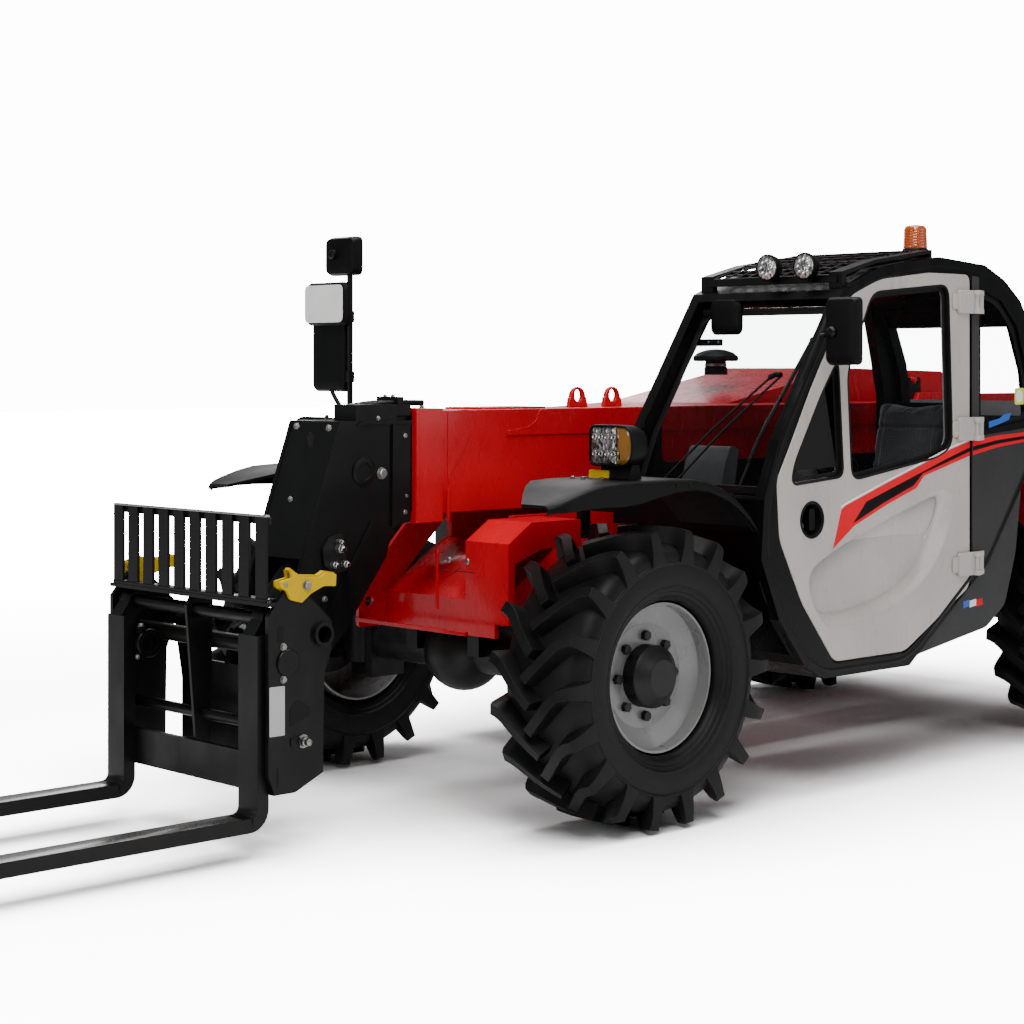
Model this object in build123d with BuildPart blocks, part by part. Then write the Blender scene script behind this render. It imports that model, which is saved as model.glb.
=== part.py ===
from build123d import *
import os
from math import cos, hypot, radians, sin

os.makedirs("parts", exist_ok=True)

# A compact telehandler: +X forward, +Y to the operator's left, +Z up, millimetres.
# The origin lies on the ground, below the middle of the machine.

# ---- Driving dimensions ----
wheelbase = 2820
rear_overhang = 740  # rear axle to the rearmost face
carriage_reach = 1250  # front axle to the front face of the fork shanks
fork_length = 1200
overall_width = 1990  # over the tyres
running_gap = 0.3  # between seated pieces
pin_gap = 0.05  # radial, pins in their bores
swing_gap = 6  # between pieces that move past each other

tyre_radius = 505  # to the lugs' tips
tyre_width = 380
lug_height = 48
lug_count = 18  # on each side of the tread
lug_sweep = 14  # degrees that the middle of the tread runs ahead of its shoulder
bead_radius = 250
rim_wall = 8
rim_width = 300
disc_recess = 75  # rim disc behind the outer rim edge
disc_thickness = 12
hub_radius = 105
stud_circle = 135  # radius of the stud circle
stud_count = 8
stud_radius = 10
nut_width = 30  # across flats
nut_height = 18

kingpin_y = 620
kingpin_radius = 25
knuckle_radius = 78
knuckle_half_height = 94
yoke_plate = 40
beam_radius = 75
differential_radius = 148

boom_y = -40  # centre line of boom and frame
frame_inner_width = 310
frame_plate = 25
boom_width = 280
boom_height = 363
boom_top = 1385
boom_wall = 8
boom_front = 368  # outer boom's front face, ahead of the front axle
collar_length = 130
pad_gap = 8.3
boom_pivot = (-330, 1300)  # from the rear axle, height
boom_pin_radius = 40

head_plate = 16
carrier_pivot = (-320, 450)  # from the carriage face, height
carrier_pin_radius = 35
tilt_base = (520, 1165)  # from the front axle
tilt_rod_eye = (-297, 633)  # from the carriage face
tilt_barrel_radius = 50
tilt_barrel_length = 560
tilt_rod_radius = 30

lift_base = (70, 710)  # from the rear axle
lift_rod_eye = (1120, 925)
lift_barrel_radius = 70
lift_barrel_length = 940
lift_rod_radius = 40
cylinder_pin_radius = 28
tilt_pin_radius = 25
eye_width = 70
tilt_eye_width = 90

fork_width = 100
fork_thickness = 45
fork_tip = 14
fork_spacing = 750  # between the forks' centre lines
fork_blade_top = 135
fork_shaft = (-70, 745)  # from the carriage face
fork_shaft_radius = 22
carriage_half_width = 450
carriage_plate = 18
hitch_tube = (-236, 689)
hitch_tube_radius = 38
guard_top = 1075
guard_bars = 9
guard_bar_width = 55

cab_inner_y = 250
cab_outer_y = 970
cab_wall = 45
door_thickness = 40
door_gap = 6
hinge_pin_radius = 8
door_hinge = (-1737, 990)  # from the front axle, and outward
glass = 6

hood_inner_y = -250
hood_outer_y = -960
hood_wall = 12
hood_edge = 22  # radius along its outer edges
louvre_count = 10
louvre_width = 22
louvre_pitch = 48
louvre_start = -320  # from the rear axle
louvre_low, louvre_high = 1250, 1420
bay_top = 1120
hood_hinge_z = 1480
hood_hinge_gap = 16  # hinge line to the hood's inner wall
hood_hinge_radius = 13
hood_pin_radius = 6
hood_hinges = (370, -180)  # from the rear axle

fender_top = 1163
frame_end = -650  # behind the rear axle
frame_low = 420
frame_step = 600  # underside over the axles
frame_top = 1000
bay_front = -660  # from the front axle
bay_rear = 670  # from the rear axle

# ---- Places worked out from them ----
overall_length = rear_overhang + wheelbase + carriage_reach + fork_length
rear_face_x = -overall_length / 2
rear_axle_x = rear_face_x + rear_overhang
front_axle_x = rear_axle_x + wheelbase
carriage_x = front_axle_x + carriage_reach  # front face of the fork shanks
axle_z = tyre_radius
wheel_mid_y = overall_width / 2 - tyre_width / 2
boom_bottom = boom_top - boom_height
hood_hinge_y = hood_inner_y + hood_hinge_gap
frame_left = boom_y + frame_inner_width / 2
frame_right = boom_y - frame_inner_width / 2


def front(points):
    """Side-view points given from the front axle, in the machine's frame."""
    return [(front_axle_x + x, z) for x, z in points]


def rear(points):
    """Side-view points given from the rear axle, in the machine's frame."""
    return [(rear_axle_x + x, z) for x, z in points]


def tool(points):
    """Side-view points given from the carriage face, in the machine's frame."""
    return [(carriage_x + x, z) for x, z in points]


def slab(plane, points, thickness, mode=Mode.ADD, rounding=0):
    """Extrude a closed outline drawn on a plane."""
    with BuildSketch(plane) as face:
        with BuildLine():
            if rounding:
                FilletPolyline(*points, radius=rounding, close=True)
            else:
                Polyline(*points, close=True)
        make_face()
    extrude(face.sketch, amount=thickness, mode=mode)


def side_slab(points, y_low, y_high, mode=Mode.ADD, rounding=0):
    """Extrude a side-view outline from y_low to y_high."""
    slab(Plane.XZ.offset(-y_high), points, y_high - y_low, mode, rounding)


def plan_slab(points, z_low, z_high, mode=Mode.ADD, rounding=0):
    """Extrude a top-view outline from z_low to z_high."""
    slab(Plane.XY.offset(z_low), points, z_high - z_low, mode, rounding)


def front_slab(points, x_low, x_high, mode=Mode.ADD, rounding=0):
    """Extrude a front-view outline of (y, z) points from x_low to x_high."""
    slab(Plane.YZ.offset(x_low), points, x_high - x_low, mode, rounding)


def rounded_slab(points, bends, y_low, y_high):
    """Extrude a side-view outline whose corners in bends, (point, radius), are rounded."""
    with BuildSketch(Plane.XZ.offset(-y_high)) as face:
        with BuildLine():
            Polyline(*points, close=True)
        make_face()
        for (x, z), radius in bends:
            fillet(face.vertices().sort_by_distance((x, z, 0))[0], radius)
    extrude(face.sketch, amount=y_high - y_low)


def bent_sheet(points, thickness, radius, y_low, y_high):
    """A sheet bent along a side-view line, with an even bend radius."""
    with BuildSketch(Plane.XZ.offset(-y_high)) as face:
        with BuildLine():
            FilletPolyline(*points, radius=radius)
            offset(amount=thickness, side=Side.LEFT)
        make_face()
    extrude(face.sketch, amount=y_high - y_low)


def brick(x_low, x_high, y_low, y_high, z_low, z_high, mode=Mode.ADD):
    """A block between its limits."""
    with Locations(((x_low + x_high) / 2, (y_low + y_high) / 2, (z_low + z_high) / 2)):
        Box(x_high - x_low, y_high - y_low, z_high - z_low, mode=mode)


def cross_bar(point, radius, y_low, y_high, mode=Mode.ADD):
    """A round bar along Y through a side-view point."""
    with BuildSketch(Plane.XZ.offset(-y_high)) as face:
        with Locations(point):
            Circle(radius)
    extrude(face.sketch, amount=y_high - y_low, mode=mode)


def upright(x, y, radius, z_low, z_high, mode=Mode.ADD):
    """A round bar along Z."""
    with BuildSketch(Plane.XY.offset(z_low)) as face:
        with Locations((x, y)):
            Circle(radius)
    extrude(face.sketch, amount=z_high - z_low, mode=mode)


def length_bar(x_low, x_high, y, z, radius, mode=Mode.ADD):
    """A round bar along X."""
    with BuildSketch(Plane.YZ.offset(x_low)) as face:
        with Locations((y, z)):
            Circle(radius)
    extrude(face.sketch, amount=x_high - x_low, mode=mode)


def save(part, name):
    """Label a finished piece and write its STEP file."""
    part.label = name
    export_step(part, f"parts/{name}.step")


# ---- Wheels, hubs and knuckles ----
# name, axle x, side (+1 left)
corners = [
    ("front_left", front_axle_x, 1),
    ("front_right", front_axle_x, -1),
    ("rear_left", rear_axle_x, 1),
    ("rear_right", rear_axle_x, -1),
]
rim_outer_y = wheel_mid_y + rim_width / 2 - 20
rim_inner_y = rim_outer_y - rim_width
disc_y = rim_outer_y - disc_recess  # outer face of the disc
hub_flange = 25
spindle_radius = 55
knuckle_end_y = 700
spindle_end_y = 800


def ring_plane(axle_x, side):
    """Plane whose X runs outward along the wheel's axis and whose Y is the radius."""
    return Plane(origin=(axle_x, 0, axle_z), x_dir=(0, side, 0), z_dir=(-side, 0, 0))


def wheel_axis(axle_x, side):
    return Axis((axle_x, 0, axle_z), (0, side, 0))


def turned(points, axle_x, side, mode=Mode.ADD):
    """Revolve a section of (distance outward, radius) points about the wheel's axis."""
    with BuildSketch(ring_plane(axle_x, side)) as face:
        with BuildLine():
            Polyline(*points, close=True)
        make_face()
    revolve(face.sketch, axis=wheel_axis(axle_x, side), mode=mode)


lug_top = 0.26  # width of a lug's top, as a share of the pitch
lug_flank = 0.06  # width of its sloping side, as a share of the pitch
tread_phase = 8.4  # degrees, sets a lug's corner straight below the axle
tread_half = tyre_width / 2 - 8
shoulder_drop = 6
tyre_half = tyre_width / 2


def tread_section(side, across, lead, foot, tip):
    """Face across the tread at a distance from its middle: trapezoid lugs on a ring."""
    pitch = 360 / lug_count
    points = []
    for index in range(lug_count):
        for share, radius in (
            (-lug_top / 2 - lug_flank, foot),
            (-lug_top / 2, tip),
            (lug_top / 2, tip),
            (lug_top / 2 + lug_flank, foot),
        ):
            # The lugs of the two sides stand half a pitch apart
            turn = radians((index + share + side / 4) * pitch + lead + tread_phase)
            points.append((radius * cos(turn), radius * sin(turn)))
    origin = (front_axle_x, wheel_mid_y + side * across, axle_z)
    with BuildSketch(Plane(origin=origin, x_dir=(1, 0, 0), z_dir=(0, 1, 0))) as face:
        with BuildLine():
            Polyline(*points, close=True)
        make_face()
    return face.sketch


# One tyre, at the front left: sidewalls turned, tread lofted from its middle to each shoulder
with BuildPart() as tyre:
    turned(
        [
            (wheel_mid_y - tyre_half + 40, bead_radius + running_gap),
            (wheel_mid_y + tyre_half - 40, bead_radius + running_gap),
            (wheel_mid_y + tyre_half, tyre_radius - lug_height - 97),
            (wheel_mid_y + tyre_half - 6, tyre_radius - lug_height - 65),
            (wheel_mid_y - tyre_half + 6, tyre_radius - lug_height - 65),
            (wheel_mid_y - tyre_half, tyre_radius - lug_height - 97),
        ],
        front_axle_x,
        1,
    )
    for side in (1, -1):
        middle = tread_section(side, 0, lug_sweep, tyre_radius - lug_height, tyre_radius)
        shoulder = tread_section(
            side, tread_half, 0, tyre_radius - lug_height - 17, tyre_radius - shoulder_drop
        )
        loft([middle, shoulder], ruled=True)
    turned(
        [
            (wheel_mid_y - tyre_half - 1, 0),
            (wheel_mid_y + tyre_half + 1, 0),
            (wheel_mid_y + tyre_half + 1, bead_radius + running_gap),
            (wheel_mid_y - tyre_half - 1, bead_radius + running_gap),
        ],
        front_axle_x,
        1,
        mode=Mode.SUBTRACT,
    )

for corner, axle_x, side in corners:
    wheel_plane = Plane(origin=(axle_x, side * disc_y, axle_z), x_dir=(1, 0, 0), z_dir=(0, side, 0))

    corner_tyre = tyre.part if side > 0 else mirror(tyre.part, about=Plane.XZ)
    save(corner_tyre.moved(Location((axle_x - front_axle_x, 0, 0))), f"{corner}_tyre")

    with BuildPart() as rim:
        turned(
            [
                (rim_inner_y, bead_radius - rim_wall),
                (rim_outer_y, bead_radius - rim_wall),
                (rim_outer_y, bead_radius),
                (rim_inner_y, bead_radius),
            ],
            axle_x,
            side,
        )
        turned(
            [
                (disc_y - disc_thickness, hub_radius + running_gap),
                (disc_y, hub_radius + running_gap),
                (disc_y, stud_circle + 40),
                (disc_y + 25, bead_radius - rim_wall),
                (disc_y + 25 - disc_thickness, bead_radius - rim_wall),
                (disc_y - disc_thickness, stud_circle + 40),
            ],
            axle_x,
            side,
        )
        with BuildSketch(wheel_plane) as stud_holes:
            with PolarLocations(stud_circle, stud_count):
                Circle(stud_radius + running_gap)
        extrude(stud_holes.sketch, amount=-disc_thickness, mode=Mode.SUBTRACT)
    save(rim.part, f"{corner}_rim")

    with BuildPart() as hub:
        turned(
            [
                (knuckle_end_y + swing_gap, spindle_radius + pin_gap),
                (spindle_end_y + swing_gap, spindle_radius + pin_gap),
                (spindle_end_y + swing_gap, 0),
                (rim_outer_y + 12, 0),
                (rim_outer_y + 12, hub_radius - 45),
                (rim_outer_y - 5, hub_radius - 25),
                (rim_outer_y - 25, hub_radius),
                (disc_y - disc_thickness, hub_radius),
                (disc_y - disc_thickness, stud_circle + 28),
                (disc_y - disc_thickness - hub_flange, stud_circle + 28),
                (disc_y - disc_thickness - hub_flange, hub_radius),
                (knuckle_end_y + swing_gap, hub_radius - 10),
            ],
            axle_x,
            side,
        )
        with BuildSketch(wheel_plane) as studs:
            with PolarLocations(stud_circle, stud_count):
                Circle(stud_radius)
        extrude(studs.sketch, amount=-disc_thickness - 2)
        with BuildSketch(wheel_plane) as nuts:
            with PolarLocations(stud_circle, stud_count):
                RegularPolygon(nut_width / 2, 6, major_radius=False)
        extrude(nuts.sketch, amount=nut_height)
    save(hub.part, f"{corner}_hub")

    with BuildPart() as knuckle:
        upright(
            axle_x,
            side * kingpin_y,
            knuckle_radius,
            axle_z - knuckle_half_height,
            axle_z + knuckle_half_height,
        )
        upright(
            axle_x,
            side * kingpin_y,
            kingpin_radius,
            axle_z - knuckle_half_height - yoke_plate - 15,
            axle_z + knuckle_half_height + yoke_plate + 15,
        )
        turned([(kingpin_y, 0), (knuckle_end_y, 0), (knuckle_end_y, 92), (kingpin_y, 92)], axle_x, side)
        turned(
            [
                (knuckle_end_y - 5, 0),
                (spindle_end_y, 0),
                (spindle_end_y, spindle_radius),
                (knuckle_end_y - 5, spindle_radius),
            ],
            axle_x,
            side,
        )
    save(knuckle.part, f"{corner}_knuckle")

# ---- Axle beams: differential, tubes and yokes round the kingpins ----
yoke_gap = knuckle_half_height + swing_gap
yoke_web_y = kingpin_y - knuckle_radius - 32
yoke_half_length = 48
saddle_half_length = 110
with BuildPart() as axle_beams:
    for axle_x in (front_axle_x, rear_axle_x):
        with Locations((axle_x, boom_y, axle_z)):
            Sphere(differential_radius)
        for side in (1, -1):
            low, high = sorted((boom_y, side * (yoke_web_y - 30)))
            cross_bar((axle_x, axle_z), beam_radius, low, high)
            low, high = sorted((side * (yoke_web_y - 35), side * yoke_web_y))
            yoke_reach = yoke_gap + yoke_plate
            brick(axle_x - 80, axle_x + 80, low, high, axle_z - yoke_reach, axle_z + yoke_reach)
            for z_low in (axle_z + yoke_gap, axle_z - yoke_reach):
                low, high = sorted((side * (yoke_web_y - 20), side * kingpin_y))
                z_high = z_low + yoke_plate
                brick(axle_x - yoke_half_length, axle_x + yoke_half_length, low, high, z_low, z_high)
                upright(axle_x, side * kingpin_y, yoke_half_length, z_low, z_high)
                upright(
                    axle_x,
                    side * kingpin_y,
                    kingpin_radius + pin_gap,
                    z_low,
                    z_high,
                    mode=Mode.SUBTRACT,
                )
            # Saddle under the frame's side plate
            saddle_y = boom_y + side * (frame_inner_width + frame_plate) / 2
            brick(
                axle_x - saddle_half_length,
                axle_x + saddle_half_length,
                saddle_y - 30,
                saddle_y + 30,
                axle_z,
                frame_step - running_gap,
            )
save(axle_beams.part, "axle_beams")

# ---- Chassis frame: two side plates that carry the boom's pin ----
frame_front = 200  # from the front axle
plate_outer_left = frame_left + frame_plate
plate_outer_right = frame_right - frame_plate
frame_outline = (
    front([(frame_front, frame_step), (-480, frame_step), (-620, frame_low)])
    + rear([(620, frame_low), (480, frame_step), (frame_end, frame_step), (frame_end, 1020)])
    + rear([(-480, 1420), (-180, 1420), (60, frame_top)])
    + front([(-75, frame_top), (-75, 880), (frame_front, 700)])
)
boom_pivot_at = rear([boom_pivot])[0]
lift_base_at = rear([lift_base])[0]
pivot_boss = boom_pin_radius + 30
boss_height = 12
with BuildPart() as chassis_frame:
    for y_low, boss_y in (
        (frame_left, plate_outer_left),
        (plate_outer_right, plate_outer_right - boss_height),
    ):
        side_slab(frame_outline, y_low, y_low + frame_plate)
        cross_bar(boom_pivot_at, pivot_boss, boss_y, boss_y + boss_height)
    for point, radius in ((boom_pivot_at, boom_pin_radius), (lift_base_at, cylinder_pin_radius)):
        cross_bar(
            point,
            radius + pin_gap,
            plate_outer_right - boss_height - 1,
            plate_outer_left + boss_height + 1,
            mode=Mode.SUBTRACT,
        )
save(chassis_frame.part, "chassis_frame")

# ---- Cross members between the plates, with the boom's and the lift cylinder's pins ----
inside_low = frame_right + running_gap
inside_high = frame_left - running_gap
# start x, end x, underside, top
cross_plates = [
    (rear_axle_x + 620, front_axle_x - 620, frame_low, frame_low + 15),
    (rear_axle_x + frame_end, rear_axle_x + frame_end + 30, frame_step, 980),
    (front_axle_x - 480, front_axle_x - 455, frame_step, 960),
    (front_axle_x + frame_front - 20, front_axle_x + frame_front, frame_step, 700),
]
with BuildPart() as frame_members:
    for x_low, x_high, z_low, z_high in cross_plates:
        brick(x_low, x_high, inside_low, inside_high, z_low, z_high)
    cross_bar(
        boom_pivot_at,
        boom_pin_radius,
        plate_outer_right - boss_height - 4,
        plate_outer_left + boss_height + 4,
    )
    cross_bar(lift_base_at, cylinder_pin_radius, plate_outer_right, plate_outer_left)
save(frame_members.part, "frame_members")

# ---- Outriggers that carry the cab on the left and the engine bay on the right ----
with BuildPart() as outriggers:
    for x in (-800, -1250):
        for low, high in (
            (plate_outer_left + running_gap, cab_inner_y - running_gap),
            (hood_inner_y - 10 + running_gap, plate_outer_right - running_gap),
        ):
            brick(front_axle_x + x - 40, front_axle_x + x + 40, low, high, 520, frame_step)
save(outriggers.part, "outriggers")

# ---- Posts and pins of the hood's hinges ----
hinge_half_length = 45
knuckle_length = 20
post_thickness = 10
post_outer_y = plate_outer_right - running_gap
with BuildPart() as hood_hinge_posts:
    for x in hood_hinges:
        start = rear_axle_x + x - hinge_half_length
        end = rear_axle_x + x + hinge_half_length
        brick(
            start,
            end,
            post_outer_y - post_thickness,
            post_outer_y,
            frame_top - 60,
            hood_hinge_z - hood_hinge_radius - swing_gap,
        )
        for knuckle_start in (start, end - knuckle_length):
            knuckle_end = knuckle_start + knuckle_length
            length_bar(knuckle_start, knuckle_end, hood_hinge_y, hood_hinge_z, hood_hinge_radius)
            brick(
                knuckle_start,
                knuckle_end,
                post_outer_y - post_thickness,
                post_outer_y,
                hood_hinge_z - 40,
                hood_hinge_z,
            )
        length_bar(start, end, hood_hinge_y, hood_hinge_z, hood_pin_radius)
save(hood_hinge_posts.part, "hood_hinge_posts")

# ---- Front nose: front plate, sloped cover, tie-down plate and step box ----
nose_cover = 20
lug_plate = 16
lug_hole = (300, 690)
lug_hole_radius = 20
nose_left = 360
step_low_y, step_high_y = 210, 430
with BuildPart() as front_nose:
    side_slab(
        front(
            [
                (frame_front, frame_step),
                (frame_front + nose_cover, frame_step),
                (frame_front + nose_cover, 725),
                (-60, 905),
                (-60, 890),
                (frame_front, 712),
            ]
        ),
        plate_outer_right,
        nose_left,
    )
    side_slab(
        front(
            [
                (frame_front, frame_step),
                (frame_front + 150, frame_step),
                (frame_front + 150, 735),
                (90, frame_top),
                (-90, frame_top),
                (frame_front, 720),
            ]
        ),
        plate_outer_right - lug_plate,
        plate_outer_right,
        rounding=12,
    )
    cross_bar(
        front([lug_hole])[0],
        lug_hole_radius,
        plate_outer_right - lug_plate - 1,
        plate_outer_right + 1,
        mode=Mode.SUBTRACT,
    )
    side_slab(
        front(
            [
                (frame_front + nose_cover, 650),
                (frame_front + nose_cover, 930),
                (110, frame_top),
                (-130, frame_top),
                (-130, 905),
                (60, 905),
                (frame_front - 10, 860),
                (frame_front - 10, 650),
            ]
        ),
        step_low_y,
        step_high_y,
    )
save(front_nose.part, "front_nose")

# ---- Counterweights on both sides of the tow hitch ----
weight_front_x = rear_axle_x + frame_end - running_gap
weight_width = 860
weight_taper = 40
hitch_half_gap = 110
with BuildPart() as counterweights:
    for side in (1, -1):
        inner = boom_y + side * hitch_half_gap
        plan_slab(
            [
                (weight_front_x, inner),
                (weight_front_x, side * (weight_width + 2 * weight_taper)),
                (rear_face_x, side * (weight_width + weight_taper)),
                (rear_face_x, inner),
            ],
            520,
            frame_top,
        )
save(counterweights.part, "counterweights")

hitch_half_width = 40
hitch_hole_radius = 16
hitch_low = 620
hitch_thickness = 30
hitch_hole_x = rear_face_x + hitch_half_width
with BuildPart() as tow_hitch:
    brick(
        hitch_hole_x,
        weight_front_x,
        boom_y - hitch_half_width,
        boom_y + hitch_half_width,
        hitch_low,
        hitch_low + hitch_thickness,
    )
    upright(hitch_hole_x, boom_y, hitch_half_width, hitch_low, hitch_low + hitch_thickness)
    upright(
        hitch_hole_x,
        boom_y,
        hitch_hole_radius,
        hitch_low - 1,
        hitch_low + hitch_thickness + 1,
        mode=Mode.SUBTRACT,
    )
save(tow_hitch.part, "tow_hitch")

# ---- Cab frame: a hollow cell with its door, windows and floor ----
cab_outline = front(
    [
        (-475, 868),
        (-491, 1076),
        (-572, 1283),
        (-710, 1492),
        (-926, 1817),
        (-1149, 1903),
        (-1523, 1957),
        (-1820, 1936),
        (-1952, 1882),
        (-2061, 1805),
        (-2120, 1727),
        (-2200, 1550),
        (-2230, 1350),
        (-2200, 1220),
        (-2120, 1127),
        (-1849, 784),
        (-1329, 422),
        (-823, 424),
        (-710, 481),
        (-572, 652),
    ]
)
cab_interior = front(
    [
        (-725, 520),
        (-725, 990),
        (-560, 1020),
        (-560, 1110),
        (-640, 1300),
        (-770, 1490),
        (-965, 1775),
        (-1160, 1850),
        (-1523, 1900),
        (-1800, 1880),
        (-1920, 1835),
        (-2020, 1765),
        (-2070, 1700),
        (-2150, 1520),
        (-2175, 1350),
        (-2150, 1240),
        (-2070, 1150),
        (-1815, 830),
        (-1310, 475),
        (-840, 475),
    ]
)
door_outline = front(
    [
        (-971, 1799),
        (-1149, 1862),
        (-1459, 1896),
        (-1719, 1896),
        (-1719, 690),
        (-1302, 478),
        (-880, 478),
        (-700, 700),
        (-575, 933),
        (-560, 1144),
        (-620, 1240),
        (-753, 1470),
    ]
)
right_window = front(
    [
        (-700, 1330),
        (-800, 1480),
        (-990, 1745),
        (-1540, 1850),
        (-1980, 1790),
        (-2080, 1420),
        (-2080, 1180),
        (-700, 1180),
    ]
)
quarter_glass = front(
    [
        (-1790, 1290),
        (-1790, 1840),
        (-1930, 1800),
        (-2040, 1700),
        (-2120, 1500),
        (-2140, 1330),
    ]
)
corner_radius = 35
door_inner_y = cab_outer_y - door_thickness
wall_inner_left = cab_outer_y - cab_wall
wall_inner_right = cab_inner_y + cab_wall


def rounded_face(points, y, amount=0):
    """Face of a round-cornered side-view outline at y, offset outward."""
    with BuildSketch(Plane.XZ.offset(-y)) as face:
        with BuildLine():
            FilletPolyline(*points, radius=corner_radius, close=True)
        make_face()
        if amount:
            offset(amount=amount)
    return face.sketch


def window(points, y_low, y_high, amount=0):
    """Cut a side-view opening."""
    extrude(rounded_face(points, y_high, amount), amount=y_high - y_low, mode=Mode.SUBTRACT)


with BuildPart() as cab_frame:
    side_slab(cab_outline, cab_inner_y, cab_outer_y)
    side_slab(cab_interior, wall_inner_right, wall_inner_left, mode=Mode.SUBTRACT)
    # Wheel arch in front of the foot well
    brick(
        front_axle_x - 680,
        front_axle_x - 300,
        cab_inner_y - 1,
        wall_inner_left,
        300,
        960,
        mode=Mode.SUBTRACT,
    )
    window(door_outline, wall_inner_left - 1, cab_outer_y + 1, door_gap)
    window(right_window, cab_inner_y - 1, wall_inner_right + 1)
    window(quarter_glass, wall_inner_left - 1, cab_outer_y + 1)
    # Windscreen, roof light and rear window
    side_slab(
        front([(-300, 1085), (-560, 1085), (-650, 1290), (-775, 1480), (-955, 1760), (-700, 1900)]),
        wall_inner_right,
        wall_inner_left,
        mode=Mode.SUBTRACT,
    )
    brick(
        front_axle_x - 1500,
        front_axle_x - 1030,
        cab_inner_y + 80,
        cab_outer_y - 80,
        1800,
        2000,
        mode=Mode.SUBTRACT,
    )
    brick(
        front_axle_x - 2400,
        front_axle_x - 2060,
        cab_inner_y + 70,
        cab_outer_y - 70,
        1300,
        1700,
        mode=Mode.SUBTRACT,
    )
save(cab_frame.part, "cab_frame")

# ---- Fixed cab glass ----
with BuildPart() as cab_windows:
    # Windscreen along the front pillars
    side_slab(
        front(
            [
                (-561, 1087),
                (-561 - glass, 1087),
                (-651 - glass, 1290),
                (-776 - glass, 1480),
                (-950 - glass, 1752),
                (-950, 1752),
                (-775, 1478),
                (-650, 1288),
            ]
        ),
        wall_inner_right + running_gap,
        wall_inner_left - running_gap,
    )
    extrude(rounded_face(right_window, cab_inner_y + 20, -running_gap), amount=glass)
    extrude(rounded_face(quarter_glass, cab_outer_y - 15, -running_gap), amount=glass)
save(cab_windows.part, "cab_windows")

# ---- Door: shell with two windows, hinge knuckles on its rear edge ----
main_window = front([(-985, 1130), (-959, 1520), (-1107, 1810), (-1575, 1850), (-1601, 1240), (-1510, 1200)])
small_window = front([(-640, 1125), (-660, 1200), (-809, 1440), (-900, 1560), (-930, 1145)])
hinge_heights = (1790, 1300, 780)
hinge_x, hinge_y = front_axle_x + door_hinge[0], door_hinge[1]
hinge_radius = 15
hinge_leaf = 25  # half height of the door's leaf
frame_leaf = 19
handle_recess = (-753, 995)
handle_recess_radius = 60
recess_depth = 16
recess_taper = 40
door_recess = front(
    [
        (-735, 705),
        (-800, 655),
        (-980, 650),
        (-1220, 705),
        (-1500, 930),
        (-1600, 1075),
        (-1029, 915),
        (-760, 820),
    ]
)
with BuildPart() as door_shell:
    extrude(rounded_face(door_outline, cab_outer_y), amount=door_thickness)
    window(main_window, door_inner_y - 1, cab_outer_y + 1)
    window(small_window, door_inner_y - 1, cab_outer_y + 1)
    cross_bar(
        front([handle_recess])[0],
        handle_recess_radius,
        door_inner_y + 8,
        cab_outer_y + 1,
        mode=Mode.SUBTRACT,
    )
    extrude(
        rounded_face(door_recess, cab_outer_y),
        amount=recess_depth,
        taper=recess_taper,
        mode=Mode.SUBTRACT,
    )
    for z in hinge_heights:
        z_low, z_high = z - hinge_leaf, z + hinge_leaf
        brick(hinge_x, hinge_x + 70, cab_outer_y, cab_outer_y + 10, z_low, z_high)
        brick(hinge_x, hinge_x + 20, cab_outer_y + 4, hinge_y + 10, z_low, z_high)
        upright(hinge_x, hinge_y, hinge_radius, z_low, z_high)
        upright(hinge_x, hinge_y, hinge_pin_radius + pin_gap, z_low - 1, z_high + 1, mode=Mode.SUBTRACT)
save(door_shell.part, "door_shell")

with BuildPart() as door_glass:
    for pane in (main_window, small_window):
        extrude(rounded_face(pane, cab_outer_y - door_thickness / 2, -running_gap), amount=glass)
save(door_glass.part, "door_glass")

with BuildPart() as door_hinges:
    for z in hinge_heights:
        z_reach = hinge_leaf + 1 + frame_leaf
        upright(hinge_x, hinge_y, hinge_pin_radius, z - z_reach, z + z_reach)
        for z_low in (z - z_reach, z + hinge_leaf + 1):
            z_high = z_low + frame_leaf
            upright(hinge_x, hinge_y, hinge_radius, z_low, z_high)
            brick(hinge_x - 60, hinge_x, cab_outer_y + running_gap, cab_outer_y + 12, z_low, z_high)
            brick(hinge_x - 20, hinge_x, cab_outer_y + 4, hinge_y + 10, z_low, z_high)
        brick(
            hinge_x - 60,
            hinge_x - 30,
            cab_outer_y + running_gap,
            cab_outer_y + 10,
            z - z_reach,
            z + z_reach,
        )
save(door_hinges.part, "door_hinges")

# ---- Roof guard, lamps, beacon and mirrors ----
guard_rail = front(
    [
        (-950, 1826.7),
        (-950, 1885),
        (-1149, 1935),
        (-1500, 1985),
        (-1500, 1955),
        (-1485, 1954),
        (-1485, 1969),
        (-1149, 1921),
        (-975, 1874),
        (-975, 1836.3),
    ]
)
guard_cross_bars = front(
    [(-957, 1870), (-1060, 1902), (-1149, 1928), (-1260, 1944), (-1380, 1961), (-1494, 1978)]
)
with BuildPart() as roof_guard:
    side_slab(guard_rail, 270, 330)
    side_slab(guard_rail, 890, 950)
    for point in guard_cross_bars:
        cross_bar(point, 7, 325, 895)
save(roof_guard.part, "roof_guard")

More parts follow.
